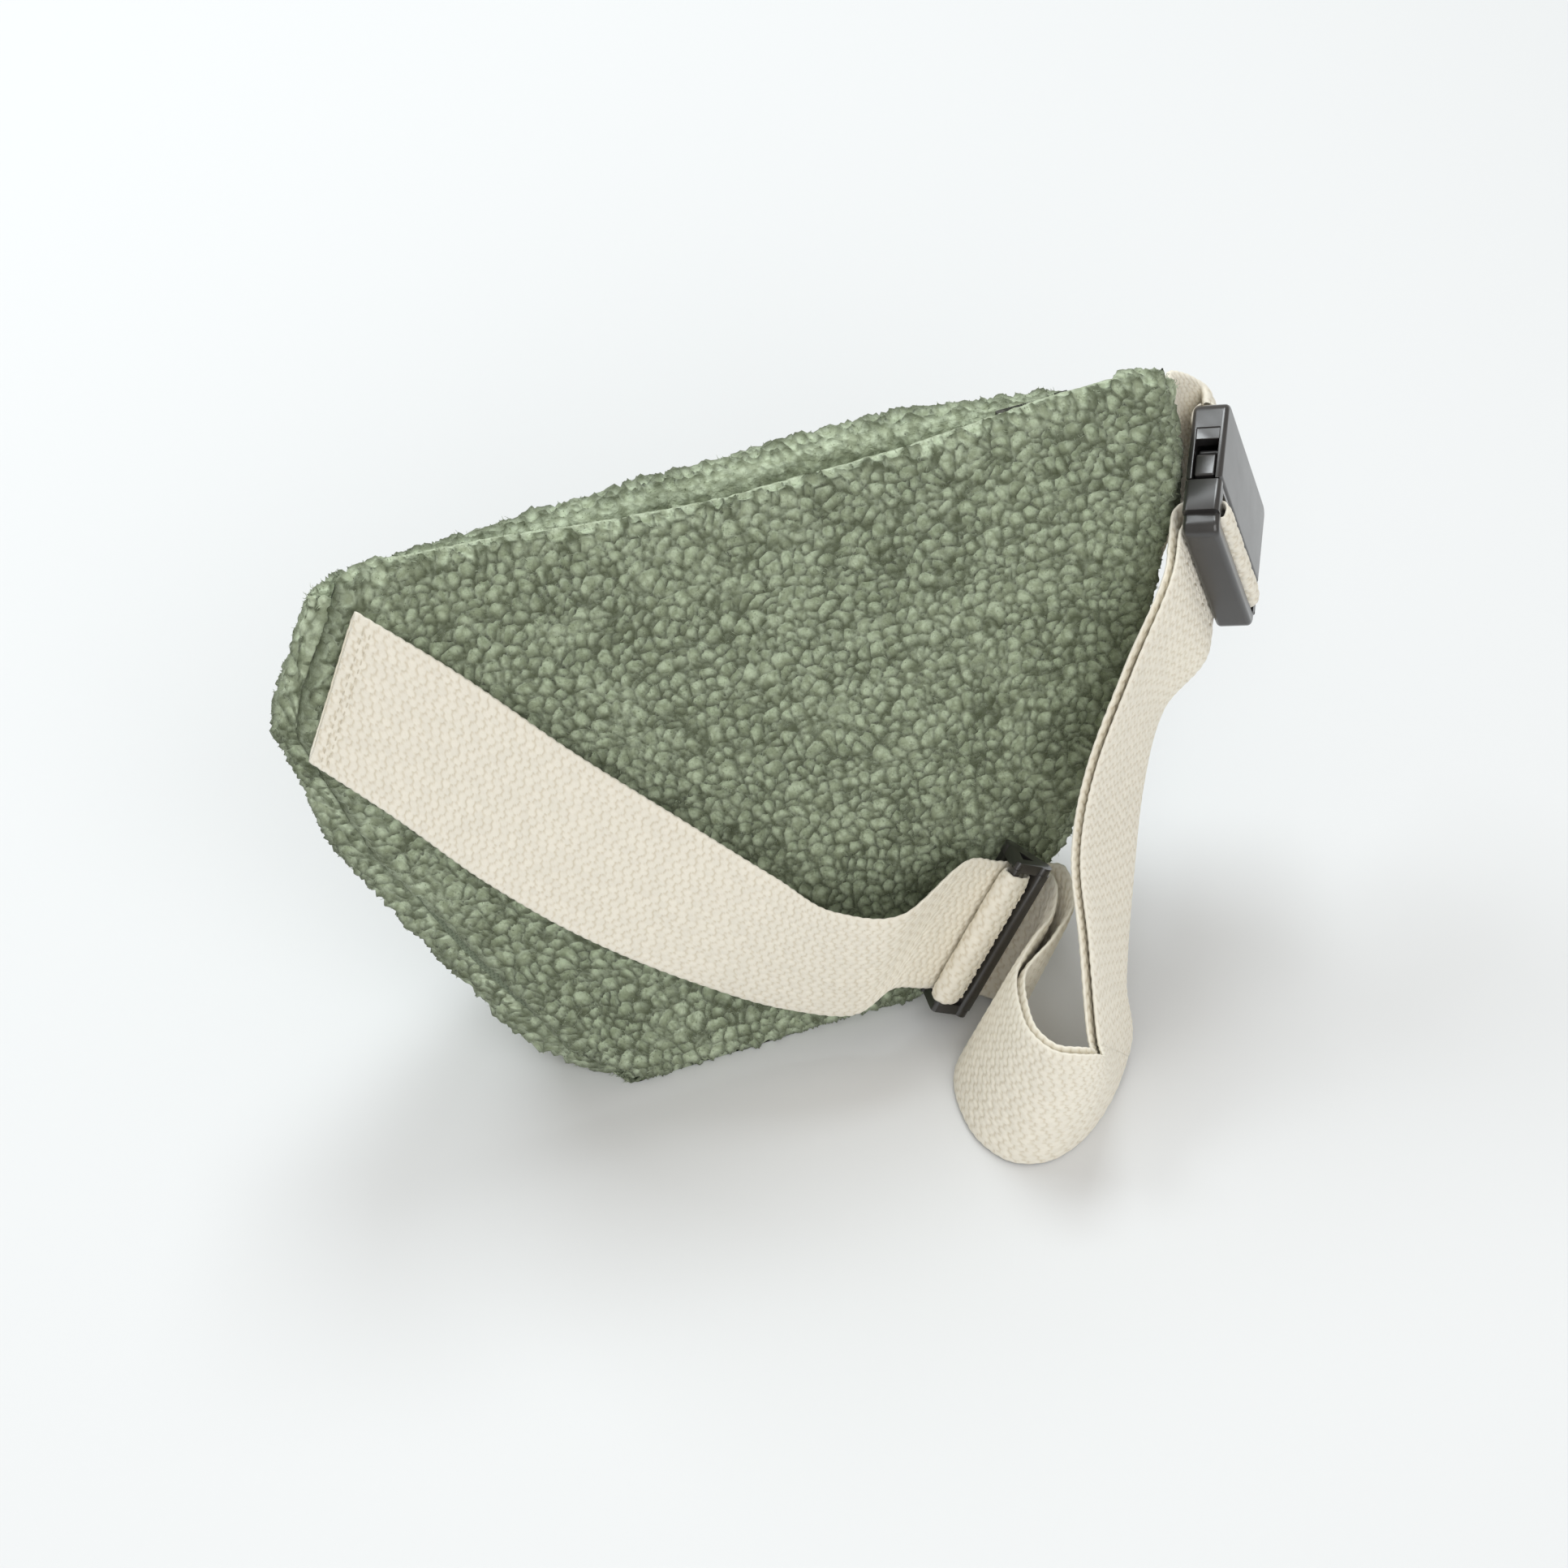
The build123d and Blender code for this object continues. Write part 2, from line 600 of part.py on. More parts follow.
# --------------------------------------------------------------------- build
def main():
    os.makedirs("parts", exist_ok=True)
    shapes = {}
    shapes.update(bag_shell())
    shapes.update(zip_chain())
    shapes["zip_slider"] = zip_slider()
    shapes["zip_pull"] = zip_pull()
    shapes.update(belt_runs())
    shapes["strap_anchor_stitching"] = belt_anchor()
    shapes["adjuster_frame"] = adjuster_frame()
    shapes["strap_sewn_end"] = sewn_end()
    shapes["sewn_end_stitching"] = sewn_end_stitching()
    shapes["buckle_plug"] = plug_body()
    shapes["latch_arm_lower"] = latch_arm(1)
    shapes["latch_arm_upper"] = latch_arm(-1)
    shapes["buckle_socket"] = socket_body()
    shapes["strap_plug_loop"] = plug_loop()
    shapes["tab_webbing"] = ribbon(tab_stations(), 2 * WEB_THICK)
    shapes["tab_loop"] = tab_loop()
    for name, shape in shapes.items():
        write(name, shape)


main()
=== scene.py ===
"""A small zipped waist bag in curly fleece, with a cotton belt, an adjuster and a clip buckle."""
import logging
import math
from dataclasses import dataclass, field
from enum import Enum
from itertools import product

import bmesh
import bpy
import numpy as np
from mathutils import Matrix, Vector


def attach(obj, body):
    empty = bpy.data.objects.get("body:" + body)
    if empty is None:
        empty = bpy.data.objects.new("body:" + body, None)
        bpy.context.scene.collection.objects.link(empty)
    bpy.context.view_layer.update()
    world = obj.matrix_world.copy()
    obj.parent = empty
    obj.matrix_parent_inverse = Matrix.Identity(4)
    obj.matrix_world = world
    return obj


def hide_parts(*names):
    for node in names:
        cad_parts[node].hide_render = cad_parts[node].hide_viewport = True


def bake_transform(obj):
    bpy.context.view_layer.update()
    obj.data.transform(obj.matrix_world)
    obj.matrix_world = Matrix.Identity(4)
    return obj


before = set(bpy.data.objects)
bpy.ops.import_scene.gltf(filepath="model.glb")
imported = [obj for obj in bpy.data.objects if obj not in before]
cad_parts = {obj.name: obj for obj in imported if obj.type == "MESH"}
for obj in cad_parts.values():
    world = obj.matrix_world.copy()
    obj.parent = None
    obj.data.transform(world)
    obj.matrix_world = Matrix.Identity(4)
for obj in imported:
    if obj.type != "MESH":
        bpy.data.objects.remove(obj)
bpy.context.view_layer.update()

Array = np.ndarray
Object = bpy.types.Object
Material = bpy.types.Material

MM = 0.001
LAYOUT_SHIFT = np.array([-21.06, 16.8, 0.0])
LEAN = math.radians(15.0)
PANEL_FOOT = np.array([0.0, -26.0, 1.5])
PANEL_RUN = np.array([1.0, 0.0, 0.0])
PANEL_UP = np.array([0.0, math.sin(LEAN), math.cos(LEAN)])
PANEL_IN = np.array([0.0, math.cos(LEAN), -math.sin(LEAN)])
FLOOR_CLEARANCE = 0.3

log = logging.getLogger("waist_bag")


class Body(Enum):
    """The moving bodies that a piece can ride on."""

    BAG = "root"
    SLIDER = "slider"
    PULL = "pull"
    ADJUSTER = "adjuster"
    PLUG = "plug"
    LATCH_LOWER = "latch_lower"
    LATCH_UPPER = "latch_upper"


class Slot(Enum):
    """The record's material slots."""

    FLEECE = "fleece"
    LINING = "lining"
    WEBBING = "webbing"
    THREAD = "thread"
    TAPE = "zip_tape"
    COIL = "zip_coil"
    METAL = "zip_metal"
    PLASTIC = "black_plastic"


# ------------------------------------------------------------------ numbers
def on_panel(along: Array, height: Array, depth: Array) -> Array:
    """Points given along the back panel, up it and into the bag.

    Args:
        along: Distances along the zip direction, in millimetres.
        height: Distances up the panel from its foot.
        depth: Distances from the panel's face into the bag.

    Returns:
        Layout points, foot + along * run + height * up + depth * inward.
    """
    along, height, depth = np.broadcast_arrays(along, height, depth)
    return (PANEL_FOOT + along[..., None] * PANEL_RUN
            + height[..., None] * PANEL_UP + depth[..., None] * PANEL_IN)


def table(at: Array, rows: tuple[tuple[float, float], ...]) -> Array:
    """Straight-line reading of a two-column table of (place, value) at the given places."""
    places, values = zip(*rows)
    return np.interp(at, places, values)


def ease(value: Array) -> Array:
    """The smooth step 3t^2 - 2t^3 of a value held between 0 and 1."""
    held = np.clip(value, 0.0, 1.0)
    return held * held * (3.0 - 2.0 * held)


def unit(vectors: Array) -> Array:
    """Vectors divided by their own lengths."""
    return vectors / np.maximum(np.linalg.norm(vectors, axis=-1, keepdims=True), 1e-9)


def scramble(cells: Array, salt: int) -> Array:
    """Repeatable random numbers for whole-number cells.

    The three cell numbers are multiplied by large primes, joined by exclusive or, and mixed twice.

    Args:
        cells: Whole numbers, with three in the last axis.
        salt: Picks one of many unrelated patterns.

    Returns:
        One number from 0 to 1 for each cell.
    """
    mixed = cells[..., 0] * 73856093 ^ cells[..., 1] * 19349663 ^ cells[..., 2] * 83492791
    mixed = (mixed ^ (salt * 2654435761)) & 0xFFFFFFFF
    for _ in range(2):
        mixed = ((mixed ^ (mixed >> 16)) * 0x45D9F3B) & 0xFFFFFFFF
    return (mixed ^ (mixed >> 16)) / 4294967296.0


def drift(points: Array, size: float, salt: int) -> Array:
    """Smooth random values from -1 to 1 that wander over a given size.

    Each point takes the eased mix of the random numbers at the eight corners of its cell.
    """
    scaled = points / size
    corner = np.floor(scaled).astype(np.int64)
    share = ease(scaled - corner)
    total = np.zeros(points.shape[:-1])
    for step in product((0, 1), repeat=3):
        weight = np.prod(np.where(np.array(step) == 1, share, 1.0 - share), axis=-1)
        total += weight * scramble(corner + np.array(step), salt)
    return total * 2.0 - 1.0


def smooth_path(stations: Array, pitch: float) -> Array:
    """Evenly spaced stations on a smooth curve through the given ones.

    Between two stations the curve is the cubic whose end slopes are the slopes between their
    neighbours, so it passes through every station. It is then read at equal steps of length.

    Args:
        stations: Stations x 2 x 3, the lower and upper edge of a belt.
        pitch: Wanted spacing along the belt, in millimetres.

    Returns:
        Stations x 2 x 3 at that spacing.
    """
    middles = stations.mean(axis=1)
    knots = np.concatenate([[0.0], np.cumsum(np.linalg.norm(np.diff(middles, axis=0), axis=1))])
    slopes = np.gradient(stations, knots, axis=0)
    fine = np.linspace(0.0, knots[-1], 60 * len(knots))
    piece = np.clip(np.searchsorted(knots, fine, side="right") - 1, 0, len(knots) - 2)
    span = (knots[piece + 1] - knots[piece])[:, None, None]
    t = ((fine - knots[piece]) / (knots[piece + 1] - knots[piece]))[:, None, None]
    curve = ((2 * t**3 - 3 * t**2 + 1) * stations[piece]
             + (t**3 - 2 * t**2 + t) * span * slopes[piece]
             + (3 * t**2 - 2 * t**3) * stations[piece + 1]
             + (t**3 - t**2) * span * slopes[piece + 1])
    middle = curve.mean(axis=1)
    length = np.concatenate([[0.0], np.cumsum(np.linalg.norm(np.diff(middle, axis=0), axis=1))])
    steps = np.linspace(0.0, length[-1], max(int(round(length[-1] / pitch)) + 1, 3))
    flat = curve.reshape(len(curve), 6)
    even = np.stack([np.interp(steps, length, flat[:, k]) for k in range(6)], axis=1)
    return even.reshape(-1, 2, 3)


def offset_path(stations: Array, offset: float) -> Array:
    """Stations moved sideways off their own surface, kept just above the floor."""
    along = np.empty((len(stations), 3))
    total = stations.sum(axis=1)
    along[1:-1] = total[2:] - total[:-2]
    along[0], along[-1] = total[1] - total[0], total[-1] - total[-2]
    side = unit(np.cross(along, stations[:, 1] - stations[:, 0])) * offset
    moved = stations + side[:, None, :]
    moved[:, 0, 2] = np.maximum(moved[:, 0, 2], 0.4)
    return moved


# ------------------------------------------------------------------- meshes
@dataclass
class GridSurface:
    """A grid of points: rows along a path, columns across or round it.

    Attributes:
        points: Rows x columns x 3, in layout millimetres.
        uv: Rows x columns x 2, with one more column where the columns wrap round.
        fields: Values per point, for the materials to read.
        wrap: Whether the last column joins the first.
        capped: Whether both ends of a wrapped grid are closed.
    """

    points: Array
    uv: Array | None = None
    fields: dict[str, Array] = field(default_factory=dict)
    wrap: bool = False
    capped: bool = False

    def quads(self) -> tuple[Array, Array]:
        """The four corner numbers of every face, for the points and for the uv."""
        rows, columns = self.points.shape[:2]
        runs = columns if self.wrap else columns - 1
        row, column = np.meshgrid(np.arange(rows - 1), np.arange(runs), indexing="ij")
        corners = ((row, column), (row, column + 1), (row + 1, column + 1), (row + 1, column))
        point = [r * columns + c % columns for r, c in corners]
        wide = columns + 1 if self.wrap else columns
        place = [r * wide + c for r, c in corners]
        return np.stack(point, -1).reshape(-1, 4), np.stack(place, -1).reshape(-1, 4)

    def inside_out(self, quads: Array) -> bool:
        """Whether the faces enclose a negative volume, summed as corner-to-centre tetrahedra."""
        flat = self.points.reshape(-1, 3)
        flat = flat - flat.mean(axis=0)
        a, b, c, d = (flat[quads[:, k]] for k in range(4))
        volume = np.einsum("ij,ij->i", np.cross(b - a, c - a), a)
        volume = volume + np.einsum("ij,ij->i", np.cross(c - a, d - a), a)
        return bool(volume.sum() < 0)


def merge_surfaces(name: str, surfaces: list[GridSurface]) -> Object:
    """One mesh object, with outward faces, from one or more grid surfaces.

    Args:
        name: The piece's name.
        surfaces: The grids that make it up.

    Returns:
        The new object, standing at the origin with its place in its mesh.
    """
    vertices, faces, places = [], [], []
    start = 0
    for surface in surfaces:
        rows, columns = surface.points.shape[:2]
        quads, uv_quads = surface.quads()
        caps = []
        if surface.capped:
            first = list(range(columns))
            last = [(rows - 1) * columns + c for c in range(columns)]
            caps = [first[::-1], last]
        flip = surface.inside_out(quads)
        if flip:
            quads, uv_quads = quads[:, ::-1], uv_quads[:, ::-1]
        caps = [cap if flip else cap[::-1] for cap in caps]
        vertices.append(surface.points.reshape(-1, 3))
        faces += (quads + start).tolist()
        if surface.uv is not None:
            places.append(surface.uv.reshape(-1, 2)[uv_quads.reshape(-1)])
        else:
            places.append(np.zeros((quads.size, 2)))
        for cap in caps:
            faces.append([number + start for number in cap])
            places.append(np.zeros((len(cap), 2)))
        start += rows * columns
    mesh = bpy.data.meshes.new(name)
    mesh.from_pydata((np.concatenate(vertices) + LAYOUT_SHIFT) * MM, [], faces)
    mesh.polygons.foreach_set("use_smooth", np.ones(len(faces), bool))
    layer = mesh.uv_layers.new(name="UVMap")
    layer.data.foreach_set("uv", np.concatenate(places).astype(np.float32).ravel())
    for label in surfaces[0].fields:
        values = np.concatenate([surface.fields[label].ravel() for surface in surfaces])
        attribute = mesh.attributes.new(label, "FLOAT", "POINT")
        attribute.data.foreach_set("value", values.astype(np.float32))
    mesh.update()
    piece = bpy.data.objects.new(name, mesh)
    bpy.context.scene.collection.objects.link(piece)
    return piece


def grid_normals(points: Array, wrap: bool) -> Array:
    """Unit normals of a grid, from the cross product of its steps along rows and columns."""
    down = np.gradient(points, axis=0)
    if wrap:
        across = np.roll(points, -1, axis=1) - np.roll(points, 1, axis=1)
    else:
        across = np.gradient(points, axis=1)
    return unit(np.cross(down, across))


def place_piece(piece: Object, body: Body, slot: Slot, material: Material,
                nodes: tuple[str, ...] = ()) -> Object:
    """Dress a piece, say which body it rides on and hide the carried nodes it stands for."""
    piece.data.materials.clear()
    piece.data.materials.append(material)
    if nodes:
        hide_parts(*nodes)
    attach(piece, body.value)
    log.info("%s: %d faces on %s", piece.name, len(piece.data.polygons), body.value)
    return piece


def blend_piece(piece: Object, moving: Body, slot: Slot, material: Material,
                nodes: tuple[str, ...], start: Array, end: Array) -> Object:
    """Dress a piece that runs from the bag to a moving body, hide the carried nodes it stands for
    and bake its place into its mesh.
    """
    piece.data.materials.clear()
    piece.data.materials.append(material)
    if nodes:
        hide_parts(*nodes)
    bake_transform(piece)
    log.info("%s: %d faces from the bag to %s", piece.name, len(piece.data.polygons), moving.value)
    return piece


# ---------------------------------------------------------------- materials
class Graph:
    """A material's node tree, with short ways to add and join its nodes."""

    def __init__(self, name: str) -> None:
        """Start an empty tree that ends in one principled surface."""
        self.material = bpy.data.materials.new(name)
        self.material.use_nodes = True
        self.tree = self.material.node_tree
        self.tree.nodes.clear()
        self.surface = self.add("ShaderNodeBsdfPrincipled")
        output = self.add("ShaderNodeOutputMaterial")
        self.join(self.surface, "BSDF", output, "Surface")

    def add(self, kind: str, **settings: object) -> bpy.types.Node:
        """Add one node and set its properties, or its sockets where no property has that name."""
        node = self.tree.nodes.new(kind)
        for label, value in settings.items():
            if hasattr(node, label):
                setattr(node, label, value)
            else:
                node.inputs[label.replace("_", " ")].default_value = value
        return node

    def join(self, source: bpy.types.Node, out: str | int,
             target: bpy.types.Node, into: str | int) -> None:
        """Link one node's output to another's input."""
        self.tree.links.new(source.outputs[out], target.inputs[into])

    def number(self, operation: str, first: object, second: object) -> bpy.types.Node:
        """A two-input math node, each input either a number or a (node, output) pair."""
        node = self.add("ShaderNodeMath", operation=operation)
        for index, value in enumerate((first, second)):
            if isinstance(value, tuple):
                self.tree.links.new(value[0].outputs[value[1]], node.inputs[index])
            else:
                node.inputs[index].default_value = value
        return node

    def mix(self, share: tuple, first: object, second: object,
            blend: str = "MIX") -> bpy.types.Node:
        """A colour mix, each colour either a plain colour or a (node, output) pair."""
        node = self.add("ShaderNodeMix", data_type="RGBA", blend_type=blend)
        self.feed(node.inputs[0], share)
        self.feed(node.inputs[6], first)
        self.feed(node.inputs[7], second)
        return node

    def feed(self, socket: bpy.types.NodeSocket, value: object) -> None:
        """Give a socket a number, a colour or a (node, output) pair."""
        if isinstance(value, tuple) and isinstance(value[0], bpy.types.Node):
            self.tree.links.new(value[0].outputs[value[1]], socket)
        elif isinstance(value, tuple):
            socket.default_value = (*value, 1.0)
        else:
            socket.default_value = value

    def noise(self, vector: tuple, scale: float, detail: float = 3.0,
              roughness: float = 0.55) -> bpy.types.Node:
        """A noise pattern read at the given coordinates."""
        node = self.add("ShaderNodeTexNoise", Scale=scale, Detail=detail, Roughness=roughness)
        self.tree.links.new(vector[0].outputs[vector[1]], node.inputs["Vector"])
        return node

    def bump(self, layers: list[tuple[tuple, float, float]]) -> None:
        """Stack bumps, each a (height output, strength, distance in metres)."""
        before = None
        for height, strength, distance in layers:
            node = self.add("ShaderNodeBump", Strength=strength, Distance=distance)
            self.tree.links.new(height[0].outputs[height[1]], node.inputs["Height"])
            if before is not None:
                self.join(before, "Normal", node, "Normal")
            before = node
        self.join(before, "Normal", self.surface, "Normal")

    def fix(self, **sockets: float | tuple) -> None:
        """Set constants on the surface's own sockets."""
        for label, value in sockets.items():
            self.surface.inputs[label.replace("_", " ")].default_value = value


@dataclass(frozen=True)
class FleeceFinish:
    """Curly pile: clump tones between a pale top colour and a lower one, painted shade in the gaps
    and on each bead's rim, and fine fibres.
    """

    name: str = "sage_fleece"
    top: tuple = (0.650, 0.745, 0.560)
    low: tuple = (0.575, 0.665, 0.480)
    # gap: colour of the painted shade in the gaps between clumps
    gap: tuple = (0.035, 0.045, 0.015)
    patch_scale: float = 55.0
    curl_scale: float = 900.0
    fibre_scale: float = 2300.0
    bead_scale: float = 560.0
    bead_bend: float = 0.0016

    def make(self) -> Material:
        """Mix the colours by the clump fields, darken each bead's rim and the gaps between clumps
        as painted shade, and add beads and fibres as bump.
        """
        graph = Graph(self.name)
        where = graph.add("ShaderNodeTexCoord")
        spot = (where, "Object")
        gap = (graph.add("ShaderNodeAttribute", attribute_name="gap"), "Fac")
        tint = (graph.add("ShaderNodeAttribute", attribute_name="tint"), "Fac")
        patches = graph.noise(spot, self.patch_scale, 2.0)
        faint = graph.number("MULTIPLY", tint, 0.3)
        share = graph.number("ADD", (patches, 0), (faint, 0))
        share.use_clamp = True
        base = graph.mix((share, 0), self.low, self.top)
        fibres = graph.noise(spot, self.fibre_scale, 3.0, 0.7)
        bend = graph.noise(spot, 420.0, 2.0)
        bent = graph.add("ShaderNodeVectorMath", operation="MULTIPLY_ADD")
        bent.inputs[1].default_value = (self.bead_bend,) * 3
        graph.join(bend, "Color", bent, 0)
        graph.join(where, "Object", bent, 2)
        beads = graph.add("ShaderNodeTexVoronoi", feature="SMOOTH_F1", Scale=self.bead_scale,
                          Smoothness=0.35)
        graph.join(bent, 0, beads, "Vector")
        bead_height = graph.number("SUBTRACT", 1.0, (beads, 0))
        # painted shade on each bead: the ramp darkens the colour away from the bead's middle
        bead_rim_shade = graph.add("ShaderNodeValToRGB")
        bead_rim_shade.color_ramp.elements[0].position = 0.30
        bead_rim_shade.color_ramp.elements[0].color = (0.66, 0.66, 0.62, 1.0)
        bead_rim_shade.color_ramp.elements[1].position = 0.66
        bead_rim_shade.color_ramp.elements[1].color = (1.0, 1.0, 1.0, 1.0)
        graph.join(bead_height, 0, bead_rim_shade, 0)
        bead_shaded = graph.mix(1.0, (base, 2), (bead_rim_shade, 0), "MULTIPLY")
        # painted shade in the gaps: the gap field pulls the colour toward the gap colour
        dark = graph.number("MULTIPLY", gap, 0.82)
        colour = graph.mix((dark, 0), (bead_shaded, 2), self.gap)
        graph.join(colour, 2, graph.surface, "Base Color")
        curls = graph.noise(spot, self.curl_scale, 4.0, 0.65)
        graph.bump([((bead_height, 0), 0.6, 0.0009), ((curls, 0), 0.8, 0.0009),
                    ((fibres, 0), 0.5, 0.0003)])
        graph.fix(Roughness=0.95, Sheen_Weight=0.45, Sheen_Roughness=0.45,
                  Sheen_Tint=(0.80, 0.88, 0.72, 1.0), Specular_IOR_Level=0.12)
        return graph.material


@dataclass(frozen=True)
class WebbingFinish:
    """Unbleached cotton webbing: cream yarns with a faint twist, and painted shade where the yarns
    cross.
    """

    name: str = "cream_webbing"
    yarn: tuple = (0.940, 0.895, 0.785)
    shade: tuple = (0.660, 0.570, 0.410)
    twist_pitch: float = 0.55

    def make(self) -> Material:
        """Colour by the weave field, darkened toward the shade colour in its gaps as painted shade,
        with yarn twist lines laid along the piece's own uv.
        """
        graph = Graph(self.name)
        where = graph.add("ShaderNodeTexCoord")
        gap = (graph.add("ShaderNodeAttribute", attribute_name="gap"), "Fac")
        tint = (graph.add("ShaderNodeAttribute", attribute_name="tint"), "Fac")
        wander = graph.noise((where, "Object"), 130.0, 2.0)
        base = graph.mix((wander, 0), self.yarn, tuple(c * 0.955 for c in self.yarn))
        tinted = graph.mix(tint, (base, 2), tuple(c * 1.03 for c in self.yarn))
        # painted shade in the recesses between floats, from the gap field
        soft = graph.number("MULTIPLY", gap, 0.55)
        colour = graph.mix((soft, 0), (tinted, 2), self.shade)
        graph.join(colour, 2, graph.surface, "Base Color")
        twist = graph.add("ShaderNodeTexWave", wave_type="BANDS", bands_direction="DIAGONAL",
                          Scale=1.0 / self.twist_pitch, Distortion=2.0, Detail=2.0)
        graph.join(where, "UV", twist, "Vector")
        lint = graph.noise((where, "Object"), 3200.0, 3.0, 0.7)
        graph.bump([((twist, 1), 0.25, 0.0002), ((lint, 0), 0.55, 0.0002)])
        graph.fix(Roughness=0.86, Sheen_Weight=0.25, Sheen_Roughness=0.5,
                  Sheen_Tint=(1.0, 0.97, 0.90, 1.0), Specular_IOR_Level=0.2)
        return graph.material


@dataclass(frozen=True)
class PlasticFinish:
    """Black moulded acetal: satin, with a faint spark-eroded grain and scuffed tint."""

    name: str = "black_plastic"
    colour: tuple = (0.014, 0.013, 0.013)
    worn: tuple = (0.030, 0.028, 0.028)

    def make(self) -> Material:
        """Grain in the bump, and roughness that wanders a little."""
        graph = Graph(self.name)
        where = graph.add("ShaderNodeTexCoord")
        wander = graph.noise((where, "Object"), 160.0, 4.0)
        base = graph.mix((wander, 0), self.colour, self.worn)
        graph.join(base, 2, graph.surface, "Base Color")
        rough = graph.add("ShaderNodeMapRange", To_Min=0.24, To_Max=0.36)
        graph.join(wander, 0, rough, "Value")
        graph.join(rough, 0, graph.surface, "Roughness")
        grain = graph.noise((where, "Object"), 4200.0, 2.0)
        graph.bump([((grain, 0), 0.16, 0.0001)])
        graph.fix(Specular_IOR_Level=0.8, Coat_Weight=0.5, Coat_Roughness=0.22)
        return graph.material


@dataclass(frozen=True)
class ClothFinish:
    """Fine woven cloth or tape: crossing threads on object coordinates."""

    name: str
    colour: tuple
    dark: tuple
    threads: float = 2200.0
    roughness: float = 0.85

    def make(self) -> Material:
        """Two crossed bands of threads in colour and bump."""
        graph = Graph(self.name)
        where = graph.add("ShaderNodeTexCoord")
        bands = []
        for direction in ("X", "Z"):
            band = graph.add("ShaderNodeTexWave", wave_type="BANDS", bands_direction=direction,
                             Scale=self.threads / 6.0, Distortion=0.6, Detail=1.0)
            graph.join(where, "Object", band, "Vector")
            bands.append((band, 1))
        weave = graph.number("MULTIPLY", *bands)
        wander = graph.noise((where, "Object"), 200.0, 3.0)
        base = graph.mix((wander, 0), self.colour, tuple(c * 0.85 for c in self.colour))
        colour = graph.mix((weave, 0), (base, 2), self.dark)
        graph.join(colour, 2, graph.surface, "Base Color")
        graph.bump([((weave, 0), 0.35, 0.0002)])
        graph.fix(Roughness=self.roughness, Sheen_Weight=0.15, Specular_IOR_Level=0.25)
        return graph.material


@dataclass(frozen=True)
class ThreadFinish:
    """Spun sewing thread with fine ply lines."""

    name: str
    colour: tuple

    def make(self) -> Material:
        """Ply lines and a little lint."""
        graph = Graph(self.name)
        where = graph.add("ShaderNodeTexCoord")
        ply = graph.noise((where, "Object"), 2600.0, 2.0)
        base = graph.mix((ply, 0), self.colour, tuple(c * 0.7 for c in self.colour))
        graph.join(base, 2, graph.surface, "Base Color")
        graph.bump([((ply, 0), 0.4, 0.0001)])
        graph.fix(Roughness=0.7, Sheen_Weight=0.2, Specular_IOR_Level=0.3)
        return graph.material


@dataclass(frozen=True)
class MetalFinish:
    """Dark lacquered zinc, a little brighter where it rubs."""

    name: str = "dark_zinc"
    colour: tuple = (0.055, 0.060, 0.050)
    rubbed: tuple = (0.220, 0.220, 0.200)

    def make(self) -> Material:
        """Wandering lacquer wear in colour and roughness."""
        graph = Graph(self.name)
        where = graph.add("ShaderNodeTexCoord")
        wear = graph.noise((where, "Object"), 420.0, 5.0, 0.65)
        ramp = graph.add("ShaderNodeValToRGB")
        ramp.color_ramp.elements[0].position = 0.52
        ramp.color_ramp.elements[0].color = (*self.colour, 1.0)
        ramp.color_ramp.elements[1].position = 0.74
        ramp.color_ramp.elements[1].color = (*self.rubbed, 1.0)
        graph.join(wear, 0, ramp, 0)
        graph.join(ramp, 0, graph.surface, "Base Color")
        rough = graph.add("ShaderNodeMapRange", To_Min=0.28, To_Max=0.5)
        graph.join(wear, 0, rough, "Value")
        graph.join(rough, 0, graph.surface, "Roughness")
        graph.bump([((wear, 0), 0.1, 0.0001)])
        graph.fix(Metallic=0.85)
        return graph.material


@dataclass(frozen=True)
class FloorFinish:
    """Plain pale matt floor with a barely visible unevenness."""

    name: str = "pale_floor"
    colour: tuple = (0.800, 0.814, 0.832)

    def make(self) -> Material:
        """Matt paint with very faint cloudiness."""
        graph = Graph(self.name)
        where = graph.add("ShaderNodeTexCoord")
        cloud = graph.noise((where, "Object"), 2.0, 2.0)
        base = graph.mix((cloud, 0), self.colour, tuple(c * 0.985 for c in self.colour))
        graph.join(base, 2, graph.surface, "Base Color")
        graph.bump([((cloud, 0), 0.02, 0.001)])
        graph.fix(Roughness=0.9, Specular_IOR_Level=0.1)
        return graph.material


@dataclass
class Palette:
    """Every finish, made once."""

    fleece: Material = field(default_factory=lambda: FleeceFinish().make())
    webbing: Material = field(default_factory=lambda: WebbingFinish().make())
    plastic: Material = field(default_factory=lambda: PlasticFinish().make())
    lining: Material = field(default_factory=lambda: ClothFinish(
        "sage_lining", (0.20, 0.24, 0.17), (0.11, 0.135, 0.09)).make())
    tape: Material = field(default_factory=lambda: ClothFinish(
        "sage_zip_tape", (0.165, 0.205, 0.125), (0.08, 0.10, 0.06), 2600.0).make())
    coil: Material = field(default_factory=lambda: ThreadFinish(
        "sage_zip_coil", (0.150, 0.190, 0.115)).make())
    thread: Material = field(default_factory=lambda: ThreadFinish(
        "cream_thread", (0.86, 0.80, 0.66)).make())
    metal: Material = field(default_factory=lambda: MetalFinish().make())


